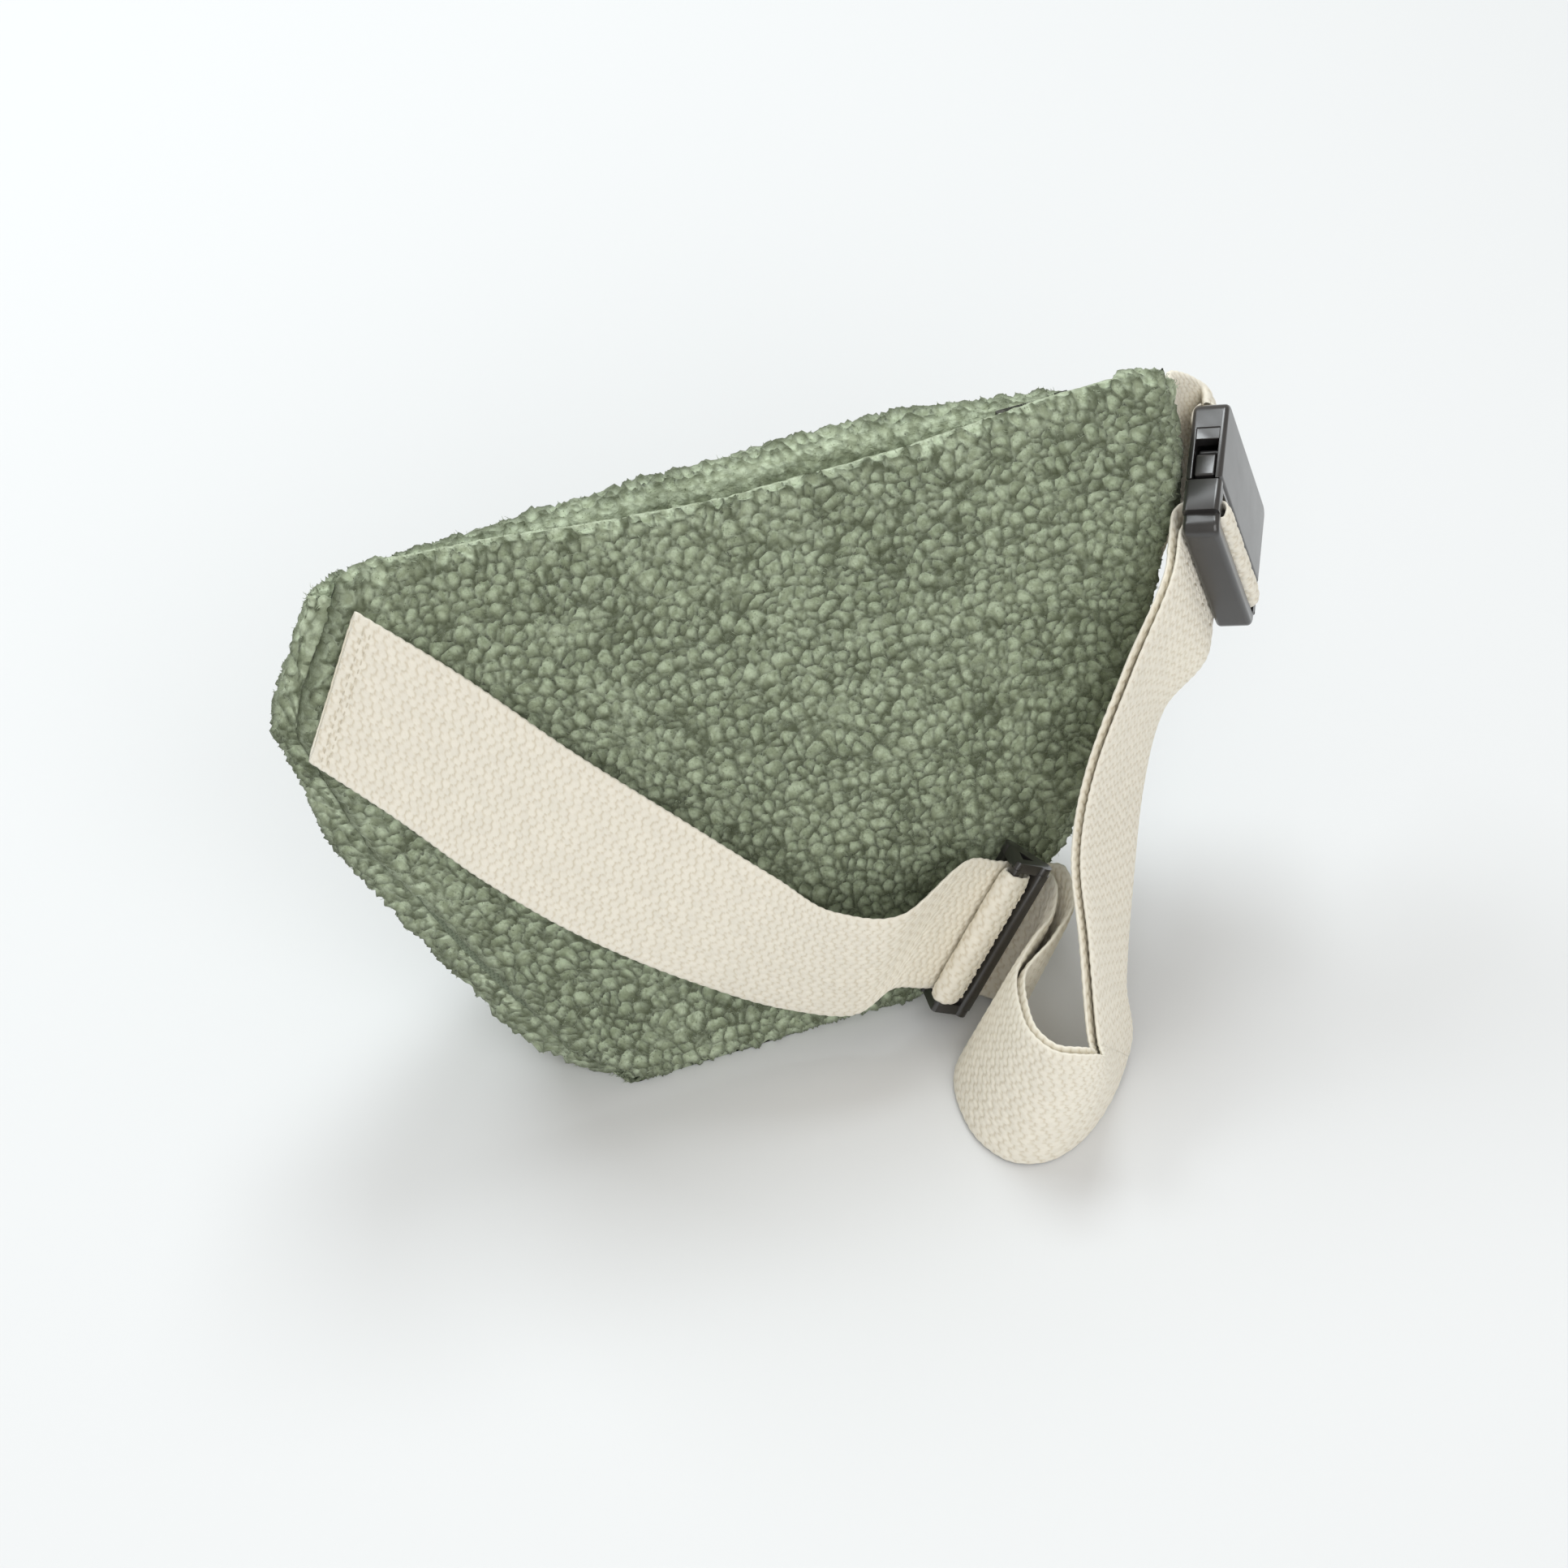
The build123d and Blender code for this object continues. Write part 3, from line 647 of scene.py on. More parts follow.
# ------------------------------------------------------------------- fleece
@dataclass(frozen=True)
class ClumpRelief:
    """Curled pile gathered in small rounded clumps.

    Attributes:
        pitch: Usual clump width, in millimetres.
        jitter: How far a clump's middle may stray in its cell.
        squeeze: How much longer than wide a clump may be.
        salt: Picks the pattern.
        shoulder_width: How far a clump rises from its edge, in pitches.
        dome_reach: Radius of the dome over a clump's middle, in pitches.
        gap_width: Width of the gap between two clumps, which the pile sinks and paints darker as
            shade, in pitches.
    """

    pitch: float = 3.3
    jitter: float = 0.85
    squeeze: float = 0.55
    salt: int = 3
    shoulder_width: float = 0.62
    dome_reach: float = 0.92
    gap_width: float = 0.30

    def read(self, points: Array) -> tuple[Array, Array, Array]:
        """Clump height, a gap share that is later sunk and painted as shade, and clump tint at each
        point.

        Space is cut in cells with one clump middle each. A point measures to every middle
        nearby, in a distance that each clump stretches along its own random direction. The
        height is a dome over the nearest middle, let down where the two nearest distances
        are alike, which is the gap between two clumps.

        Args:
            points: Places on the smooth surface, in millimetres.

        Returns:
            Height from 0 to 1, gap from 0 to 1, and a random tint from 0 to 1.
        """
        bend = np.stack([drift(points, self.pitch * 1.7, self.salt + k) for k in (11, 12, 13)], -1)
        spots = points / self.pitch + bend * 0.35
        cells = np.floor(spots).astype(np.int64)
        nearest = np.full(spots.shape[:-1], 9.0)
        second = np.full(spots.shape[:-1], 9.0)
        tint = np.zeros(spots.shape[:-1])
        for step in product((-1, 0, 1), repeat=3):
            key = cells + np.array(step)
            draws = [scramble(key, self.salt + k) for k in range(8)]
            middle = key + 0.5 + self.jitter * (np.stack(draws[:3], -1) - 0.5)
            apart = spots - middle
            lean = unit(np.stack(draws[3:6], -1) - 0.5)
            along = np.einsum("...k,...k->...", apart, lean)
            squared = np.einsum("...k,...k->...", apart, apart) - self.squeeze * along**2
            distance = np.sqrt(np.maximum(squared, 0.0)) / (0.85 + 0.3 * draws[6])
            closer = distance < nearest
            second = np.where(closer, nearest, np.minimum(second, distance))
            tint = np.where(closer, draws[7], tint)
            nearest = np.where(closer, distance, nearest)
        apart = second - nearest
        shoulder = 1.0 - (1.0 - np.clip(apart / self.shoulder_width, 0.0, 1.0)) ** 2
        dome = np.clip(1.0 - (nearest / self.dome_reach) ** 2, 0.0, 1.0)
        height = 0.5 * shoulder + 0.5 * dome
        return height, np.clip(1.0 - apart / self.gap_width, 0.0, 1.0) ** 1.4, tint


@dataclass
class Pile:
    """The fleece's relief on a smooth panel surface.

    Attributes:
        clump: Height of the clumps, in millimetres.
        curl: Height of the small curls on them.
        sway: Height of the slow unevenness of the whole cloth.
    """

    clump: float = 2.3
    curl: float = 0.50
    sway: float = 1.3

    def raise_from(self, points: Array, share: Array) -> tuple[Array, Array, Array]:
        """Lift a wrapped grid outward by the pile.

        Args:
            points: Rows x columns x 3 smooth surface.
            share: How much of the pile stands at each point, 0 to 1.

        Returns:
            The lifted points, the gap field of painted shade and the tint field.
        """
        outward = grid_normals(points, True)
        shell = GridSurface(points, wrap=True)
        if shell.inside_out(shell.quads()[0]):
            outward = -outward
        height, gap, tint = ClumpRelief().read(points)
        small, small_gap_shade, _ = ClumpRelief(pitch=1.55, squeeze=0.3, salt=41).read(points)
        slow = drift(points, 17.0, 71) * 0.6 + drift(points, 38.0, 72)
        crack = np.clip(0.5 + 0.9 * drift(points, 7.0, 57), 0.0, 1.0)
        height = height - 0.35 * gap * crack
        lift = self.clump * (height - 0.45) + self.curl * (small - 0.5) + self.sway * slow * 0.5
        lifted = points + outward * (lift * share)[..., None]
        lifted[..., 2] = np.maximum(lifted[..., 2], FLOOR_CLEARANCE)
        # painted shade: darker in the gaps between clumps, in the cracks and in the low places of
        # the pile
        dark = gap * (0.85 + 0.3 * crack) + 0.10 * small_gap_shade + 0.2 * np.clip(0.6 - height, 0.0, 1.0)
        dark = np.clip(dark, 0.0, 1.0) * np.clip(share * 1.5, 0.0, 1.0)
        return lifted, dark, tint


@dataclass(frozen=True)
class LooseFibres:
    """Single curled fibres that stand out of the pile.

    Attributes:
        count: How many fibres grow on one panel.
        curl: Radius of a fibre's curl, in millimetres.
        thickness: Radius of the fibre itself.
    """

    count: int = 9000
    curl: float = 0.85
    thickness: float = 0.085

    def grow(self, surface: GridSurface, last_column: int) -> list[GridSurface]:
        """Fibres at scattered points of a panel's outer face.

        Each fibre is a thin three-sided tube along an arc:
        root + radius * (sin(turn) * outward + (1 - cos(turn)) * sideways).

        Args:
            surface: The lifted panel.
            last_column: The last column of the panel's outer face.

        Returns:
            One closed grid per fibre.
        """
        numbers = np.stack([np.arange(self.count), np.full(self.count, 7),
                            np.full(self.count, last_column)], -1)
        draws = [scramble(numbers, 90 + k) for k in range(7)]
        rows = (3 + draws[0] * (surface.points.shape[0] - 6)).astype(int)
        columns = (6 + draws[1] * (last_column - 8)).astype(int)
        outward = grid_normals(surface.points, True)[rows, columns]
        if surface.inside_out(surface.quads()[0]):
            outward = -outward
        loose = unit(np.stack(draws[2:5], -1) - 0.5)
        outward = unit(outward + 0.5 * loose)
        sideways = unit(np.cross(outward, loose))
        across = np.cross(outward, sideways)
        root = surface.points[rows, columns] - 0.25 * outward
        turn = np.linspace(0.0, 1.0, 4)[None, :] * (1.4 + 1.6 * draws[5])[:, None]
        size = (self.curl * (0.6 + 0.8 * draws[6]))[:, None]
        path = (root[:, None, :] + (size * np.sin(turn))[..., None] * outward[:, None, :]
                + (size * (1.0 - np.cos(turn)))[..., None] * sideways[:, None, :])
        path[..., 2] = np.maximum(path[..., 2], FLOOR_CLEARANCE)
        away = (np.sin(turn)[..., None] * outward[:, None, :]
                - np.cos(turn)[..., None] * sideways[:, None, :])
        taper = self.thickness * np.array([1.0, 0.95, 0.75, 0.35])
        tubes = []
        for angle in (0.0, 2.0 * math.pi / 3.0, 4.0 * math.pi / 3.0):
            ring = math.cos(angle) * away + math.sin(angle) * across[:, None, :]
            tubes.append(path + ring * taper[None, :, None])
        tubes = np.stack(tubes, axis=2)
        tint = np.broadcast_to(draws[5][:, None, None], tubes.shape[:3])
        gap = np.zeros(tubes.shape[:3])
        return [GridSurface(tube, fields={"gap": gap[k], "tint": tint[k]}, wrap=True, capped=True)
                for k, tube in enumerate(tubes)]


@dataclass
class FleeceBag:
    """The bag's two fleece panels.

    Attributes:
        left_edge: (height, place) of the left seam.
        right_edge: (height, place) of the right seam.
        back_top: (place, height) of the back panel's rolled top edge.
        ridge_top: (place, height) of the front panel's edge behind the zip.
        depths: (height, depth) of the belly.
        left_swell: (height, width) that the front panel stands out past the left seam.
        right_swell: The same past the right seam.
        back_rows: Rows of points across the back panel.
        front_rows: The same round the front panel.
        seam_depth: Depth of the seam between the two.
        roll_size: Radius of the back panel's rolled top edge.
        shoulder: Height at which the front panel turns over towards the zip.
        last_outer_columns: The last column of each panel's outer face.
    """

    left_edge: tuple = ((-1.5, -37.0), (5.0, -43.5), (14.0, -53.0), (30.0, -61.5), (46.0, -69.2),
                        (58.0, -75.6), (72.0, -83.2), (82.0, -88.4), (93.0, -92.4),
                        (105.0, -96.0), (112.0, -98.2), (119.0, -100.2), (128.0, -97.4),
                        (137.0, -92.8), (150.0, -86.4), (160.0, -83.0))
    right_edge: tuple = ((-1.5, 37.0), (5.0, 41.0), (14.0, 56.0), (27.0, 72.0), (50.0, 84.0),
                         (76.0, 95.0), (96.0, 101.8), (114.5, 107.2), (123.0, 109.0),
                         (131.0, 109.2), (140.0, 108.2), (151.0, 106.6), (160.0, 104.0))
    back_top: tuple = ((-88.0, 152.5), (-82.0, 155.6), (-74.0, 156.6), (-53.0, 155.2),
                       (-25.0, 151.8), (0.0, 149.8), (42.0, 150.2), (78.0, 153.2),
                       (98.0, 153.4), (106.0, 151.6))
    ridge_top: tuple = ((-90.0, 150.0), (-71.0, 148.2), (-30.0, 147.6), (40.0, 149.0),
                        (72.0, 146.8), (86.0, 144.6), (90.0, 142.4), (110.0, 141.0))
    depths: tuple = ((-1.5, 40.0), (14.0, 54.0), (30.0, 60.0), (52.0, 61.0), (76.0, 56.0),
                     (100.0, 48.0), (118.0, 40.0), (136.0, 30.0), (143.0, 26.0), (160.0, 22.0))
    left_swell: tuple = ((-1.5, 7.5), (12.0, 7.2), (25.0, 8.0), (45.0, 8.4), (70.0, 7.2),
                         (95.0, 5.8), (112.0, 4.4), (122.0, 4.0), (140.0, 4.0), (160.0, 4.0))
    right_swell: tuple = ((-1.5, 6.0), (40.0, 6.0), (80.0, 3.6), (110.0, 2.4), (160.0, 2.0))
    back_rows: int = 325
    front_rows: int = 345
    seam_depth: float = 5.2
    roll_size: float = 3.4
    shoulder: float = 142.0
    last_outer_columns: tuple = (258, 230)

    def back_section(self) -> tuple[Array, Array, Array]:
        """Height share, depth share and pile share round the back panel's closed section.

        The section runs up the outer face, over a half-round roll and down the inner face.
        """
        face = np.linspace(0.0, 1.0, 248)
        roll = np.linspace(0.0, math.pi, 15)[1:-1]
        inner = np.linspace(1.0, 0.0, 34)
        height = np.concatenate([face, 1.0 + 0.0 * roll, inner])
        bulge = np.concatenate([0.0 * face, np.sin(roll), 0.0 * inner])
        depth = np.concatenate([0.0 * face, (1.0 - np.cos(roll)) / 2.0, 1.0 + 0.0 * inner])
        return height, bulge, depth

    def back_panel(self) -> GridSurface:
        """The flat panel that faces the wearer, as one closed padded sheet.

        Height runs from the foot to the top edge less the roll, the roll adds a half circle,
        and the sheet thins to nothing along the side seams by a quarter-circle rounding.
        """
        share, bulge, deep = self.back_section()
        across = np.linspace(0.0, 1.0, self.back_rows)[:, None]
        top_place = -86.0 + across * 192.0
        top = table(top_place, self.back_top) - self.roll_size
        height = -1.5 + share[None, :] * (top + 1.5) + bulge[None, :] * self.roll_size
        left = table(height, self.left_edge)
        right = table(height, self.right_edge)
        along = left + (right - left) * across
        from_side = np.minimum(along - left, right - along)
        from_foot = height + 1.5
        inside = np.clip(np.minimum(from_side / 6.0, from_foot / 6.0 + 0.15), 0.0, 1.0)
        rounded = np.sqrt(1.0 - (1.0 - inside) ** 2)
        in_zip = ease((along + 76.0) / 5.0) * ease((97.0 - along) / 4.0)
        above = ease((height - 145.0) / 3.5)
        thick = 8.2 * (1.0 - in_zip) + (4.2 + 0.9 * above) * in_zip
        thick = np.where(height < 128.0, 4.0, 4.0 + (thick - 4.0) * ease((height - 128.0) / 10.0))
        near = self.seam_depth * (1.0 - rounded)
        far = self.seam_depth + (thick - self.seam_depth) * rounded + 0.3
        depth = near + (far - near) * deep[None, :]
        points = on_panel(along, height, depth)
        inner = (deep[None, :] > 0.98) & (height < 141.0)
        pile_share = np.where(inner, 0.0, 1.0) * (0.35 + 0.65 * rounded)
        pile_share = pile_share * (1.0 - (0.4 + 0.45 * in_zip) * (deep[None, :] > 0.4))
        lifted, gap, tint = Pile().raise_from(points, pile_share)
        # painted shade in the side seams' crease, fading over 2.4 mm from each seam
        gap = np.maximum(gap, np.clip(1.0 - from_side / 2.4, 0.0, 1.0))
        return GridSurface(lifted, fields={"gap": gap, "tint": tint}, wrap=True, capped=True)

    def front_steps(self) -> tuple[Array, Array, Array, Array]:
        """The closed walk round the front panel's wall at one place across the bag.

        Returns:
            Level in four parts (foot spread, height, arch turn and wall) as separate columns:
            spread 0 to 1 of the belly's depth, height up the panel, arch turn 0 to pi, and
            1 for the inner wall.
        """
        foot = np.linspace(0.0, 1.0, 42)[:-1]
        rise = np.linspace(0.0, 1.0, 168)
        arch = np.linspace(0.0, math.pi, 26)[1:]
        drop = np.linspace(1.0, 0.0, 30)[1:]
        back = np.linspace(1.0, 0.0, 8)[1:-1]
        spread = np.concatenate([foot, 1 + 0 * rise, 1 + 0 * arch, 1 + 0 * drop, back])
        level = np.concatenate([0 * foot, rise, 1 + 0 * arch, drop, 0 * back])
        turn = np.concatenate([0 * foot, 0 * rise, arch, math.pi + 0 * drop, math.pi + 0 * back])
        wall = np.concatenate([0 * foot, 0 * rise, 0 * arch, 1 + 0 * drop, 1 + 0 * back])
        return spread, level, turn, wall

    def belly_curve(self, angle: Array, height: Array, spread: Array,
                    inset: Array) -> tuple[Array, Array]:
        """Place and depth of the belly at an angle from the left seam to the right one.

        From each seam a quarter circle swells out past the seam, then a half ellipse goes round
        the belly: along = middle - half width * cos(angle), depth = 9 + rest * sin(angle).
        """
        left = table(height, self.left_edge)
        right = table(height, self.right_edge)
        deepest = 9.0 + (table(height, self.depths) - 9.0) * spread
        lip = 0.06 * math.pi
        turn = np.clip((angle - lip) / (math.pi - 2 * lip), 0.0, 1.0) * math.pi
        swell_left = table(height, self.left_swell) * (0.4 + 0.6 * spread)
        swell_right = table(height, self.right_swell) * (0.4 + 0.6 * spread)
        low = left - swell_left + inset
        high = right + swell_right - inset
        along = (low + high) / 2 - (high - low) / 2 * np.cos(turn)
        depth = 9.0 * spread + 2.0 * (1 - spread) + (deepest - 9.0 - inset) * np.sin(turn) ** 0.92
        near_left = np.clip(1.0 - angle / lip, 0.0, 1.0)
        near_right = np.clip(1.0 - (math.pi - angle) / lip, 0.0, 1.0)
        for near, seam, out in ((near_left, left + 1.4, low), (near_right, right - 1.4, high)):
            curl = near * math.pi / 2
            on_lip = near > 0
            along = np.where(on_lip, out + (seam - out) * (1 - np.cos(curl)), along)
            lip_depth = depth - (depth - self.seam_depth - 0.4) * np.sin(curl)
            depth = np.where(on_lip, lip_depth, depth)
        return along, depth

    def front_panel(self) -> GridSurface:
        """The bulging panel, with its foot on the floor and its top rolled into the zip."""
        spread, level, turn, wall = (part[None, :] for part in self.front_steps())
        angle = np.linspace(0.0, 1.0, self.front_rows)[:, None]
        angle = (angle + 0.035 * np.sin(2 * math.pi * angle)) * math.pi
        shoulder = self.shoulder
        height = -1.5 + level * (shoulder + 1.5)
        end_share = np.clip(np.minimum(angle, math.pi - angle) / 0.5, 0.0, 1.0)
        inset = 4.0 * wall * np.sqrt(end_share)
        along, depth = self.belly_curve(angle, height, spread, inset)
        place, outer = self.belly_curve(angle, shoulder + 0.0 * height, spread * 0 + 1.0, 0.0)
        in_zip = ease((place + 76.0) / 5.0) * ease((97.0 - place) / 4.0)
        valley = 12.7 * in_zip + 8.0 * (1.0 - in_zip)
        valley = np.minimum(valley, outer - 1.0)
        ridge = table(place, self.ridge_top)
        corner = np.clip(1.0 - np.minimum(angle, math.pi - angle) / (0.12 * math.pi), 0.0, 1.0)
        ridge = ridge + (table(place, self.back_top) - 3.0 - ridge) * ease(corner)
        reach = (outer - valley) / 2
        on_arch = (turn > 0) & (wall == 0)
        arch_depth = outer - reach * (1.0 - np.cos(turn))
        arch_height = shoulder + (ridge - shoulder) * np.sin(turn) ** 0.8
        lean_in = table(arch_height, self.left_edge) - table(shoulder, self.left_edge)
        narrow = np.clip(-place / 90.0, 0.0, 1.0) * lean_in
        depth = np.where(on_arch, arch_depth, depth)
        along = np.where(on_arch, place + narrow, along)
        height = np.where(on_arch, arch_height, height)
        top_wall = (wall > 0) & (level > 0.9)
        hand = ease((level - 0.9) / 0.1)
        depth = np.where(top_wall, depth + (valley + 0.6 - depth) * hand, depth)
        points = on_panel(along, height, depth)
        points[..., 2] = np.maximum(points[..., 2], FLOOR_CLEARANCE)
        pile_share = np.where(wall > 0, 0.0, 1.0) * np.where(on_arch & (turn > 2.0), 0.4, 1.0)
        pile_share = pile_share * (0.3 + 0.7 * np.clip(end_share * 6.0, 0.0, 1.0))
        lifted, gap, tint = Pile().raise_from(points, pile_share)
        # painted shade where the panel's ends tuck into the side seams
        gap = np.maximum(gap, np.clip(1.0 - end_share * 9.0, 0.0, 1.0))
        return GridSurface(lifted, fields={"gap": gap, "tint": tint}, wrap=True, capped=True)

    def build(self, palette: Palette) -> None:
        """Make and dress both panels and their loose fibres."""
        back = self.back_panel()
        front = self.front_panel()
        place_piece(merge_surfaces("fleece_back", [back]), Body.BAG, Slot.FLEECE,
                    palette.fleece, ("back_panel",))
        place_piece(merge_surfaces("fleece_front", [front]), Body.BAG, Slot.FLEECE,
                    palette.fleece, ("front_panel",))
        fibres = LooseFibres()
        for name, surface, last in zip(("back", "front"), (back, front), self.last_outer_columns):
            piece = merge_surfaces(f"fleece_fibres_{name}", fibres.grow(surface, last))
            place_piece(piece, Body.BAG, Slot.FLEECE, palette.fleece)
        for node in ("lining_back", "lining_front"):
            dress_node(node, palette.lining)


def dress_node(node: str, material: Material) -> None:
    """Give a carried CAD node its finish."""
    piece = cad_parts[node]
    piece.data.materials.clear()
    piece.data.materials.append(material)
    log.info("%s: carried over", node)


# --------------------------------------------------------------------- belt
@dataclass
class Weave:
    """Relief of a heavy cotton plain weave, as staggered oval floats.

    Attributes:
        float_pitch: Spacing of the floats along a yarn, in millimetres.
        yarn_pitch: Spacing of the yarns across the belt.
        height: How far a float stands above the crossings.
    """

    float_pitch: float = 2.6
    yarn_pitch: float = 1.48
    height: float = 0.42

    def read(self, along: Array, across: Array, side: int) -> tuple[Array, Array, Array]:
        """Height, gap and tint of the weave at places on one face.

        Every second yarn is shifted half a float. A float is an oval dome round the nearest
        lattice point, and the gap, where no dome reaches, is painted darker later as shade.
        """
        wobble = np.sin(along * 0.31 + side) * 0.16 + np.sin(across * 0.9 + along * 0.17) * 0.13
        yarn = across / self.yarn_pitch + wobble
        best = np.full(np.broadcast(along, across).shape, 9.0)
        tint = np.zeros(best.shape)
        for shift in (0.0, 0.5):
            row = np.round((yarn - shift * 2) / 2) * 2 + shift * 2
            line = along / self.float_pitch + shift + np.sin(row * 2.1 + along * 0.11) * 0.13
            cell = np.round(line)
            apart = ((line - cell) / 0.50) ** 2 + ((yarn - row) / 0.66) ** 2
            key = np.stack([cell.astype(np.int64), row.astype(np.int64),
                            np.full(cell.shape, side, np.int64)], -1)
            tint = np.where(apart < best, scramble(key, 5), tint)
            best = np.minimum(best, apart)
        dome = np.sqrt(np.clip(1.0 - best, 0.0, 1.0))
        return self.height * (dome - 0.6), ease((best - 0.55) / 0.45), tint


@dataclass
class BeltLayer:
    """One continuous run of webbing, sampled once and cut in pieces.

    Attributes:
        stations: Lower and upper edge points along the run.
        pitch: Spacing of the rows of points along it.
        thickness: Webbing thickness.
        start: Length already used before this run, so that the weave carries on.
    """

    stations: Array
    pitch: float = 0.42
    thickness: float = 1.5
    start: float = 0.0

    def __post_init__(self) -> None:
        """Sample the run evenly and measure along it."""
        self.path = smooth_path(self.stations, self.pitch)
        steps = np.linalg.norm(np.diff(self.path.mean(axis=1), axis=0), axis=1)
        self.length = np.concatenate([[0.0], np.cumsum(steps)]) + self.start

    def row_near(self, point: Array) -> int:
        """The row whose middle is nearest to a point."""
        return int(np.argmin(np.linalg.norm(self.path.mean(axis=1) - point, axis=1)))

    def cut(self, first: int, last: int, coarse_back: bool = False) -> GridSurface:
        """The closed webbing between two rows.

        The profile is a flat oval carried along the path: width * (share - 1/2) across, and
        half the thickness * (1 - |2 share - 1|^9)^(1/2) to each side, plus the weave.
        """
        path = self.path[first:last + 1]
        length = self.length[first:last + 1]
        front = np.linspace(0.0, 1.0, 92)
        back = np.linspace(1.0, 0.0, 30 if coarse_back else 92)[1:-1]
        share = np.concatenate([front, back])
        side = np.concatenate([np.ones(len(front)), -np.ones(len(back))])
        whole = self.path
        run = np.gradient(whole.mean(axis=1), axis=0)[first:last + 1]
        span = path[:, 1] - path[:, 0]
        width = np.linalg.norm(span, axis=1)
        facing = unit(np.cross(run, span))
        middle = path.mean(axis=1)
        reach = (share - 0.5)[None, :] * width[:, None]
        ends = np.abs(2 * share - 1)
        half = self.thickness / 2 * np.sqrt(np.clip(1.0 - ends**10, 0.0, 1.0))
        weave = Weave()
        top, top_gap_shade, top_tint = weave.read(length[:, None], reach, 1)
        low, low_gap_shade, low_tint = weave.read(length[:, None] + 1.1, reach, 2)
        upper = side[None, :] > 0
        relief = np.where(upper, top, low) * np.clip((1.0 - ends) * 12.0, 0.0, 1.0)[None, :]
        bead = 0.22 * np.abs(np.sin(length[:, None] * math.pi / weave.float_pitch))
        reach = reach + np.sign(share - 0.5)[None, :] * bead * (ends[None, :] > 0.97)
        offset = side[None, :] * (half[None, :] + relief)
        points = (middle[:, None, :] + reach[..., None] * unit(span)[:, None, :]
                  + offset[..., None] * facing[:, None, :])
        points[..., 2] = np.maximum(points[..., 2], FLOOR_CLEARANCE - 0.1)
        # painted shade in the weave's recesses, carried in the gap field
        gap = np.where(upper, top_gap_shade, low_gap_shade) * np.clip((1 - ends) * 20, 0, 1)[None, :]
        tint = np.where(upper, top_tint, low_tint)
        place = np.concatenate([front, back + 1.2, [1.2]])
        uv = np.stack(np.broadcast_arrays(length[:, None], place[None, :] * 38.0), axis=-1)
        return GridSurface(points, uv, {"gap": gap, "tint": tint}, wrap=True, capped=True)


@dataclass
class LocalFrame:
    """A turned frame for a fitting: a point and three directions."""

    point: Array
    x_axis: Array
    y_axis: Array
    z_axis: Array

    def at(self, x: Array, y: Array, z: Array) -> Array:
        """Layout points for local ones."""
        x, y, z = np.broadcast_arrays(np.asarray(x, float), y, z)
        return (self.point + x[..., None] * self.x_axis + y[..., None] * self.y_axis
                + z[..., None] * self.z_axis)


def buckle_frame() -> LocalFrame:
    """Local x across the webbing, y towards the socket, z off the face."""
    wide = unit(np.array([0.346, 0.049, -0.937]))
    face = np.array([0.804, -0.532, 0.269])
    face = unit(face - wide * (face @ wide))
    return LocalFrame(np.array([112.4, -8.0, 100.7]), wide, np.cross(face, wide), face)


def adjuster_frame() -> LocalFrame:
    """Local x along the belt, y off its face, z across it and up."""
    along = unit(np.array([0.805, 0.152, -0.576]))
    face = np.array([0.231, -0.963, 0.069])
    face = unit(face - along * (face @ along))
    return LocalFrame(np.array([50.6, -26.6, 22.9]), along, face, np.cross(face, along))


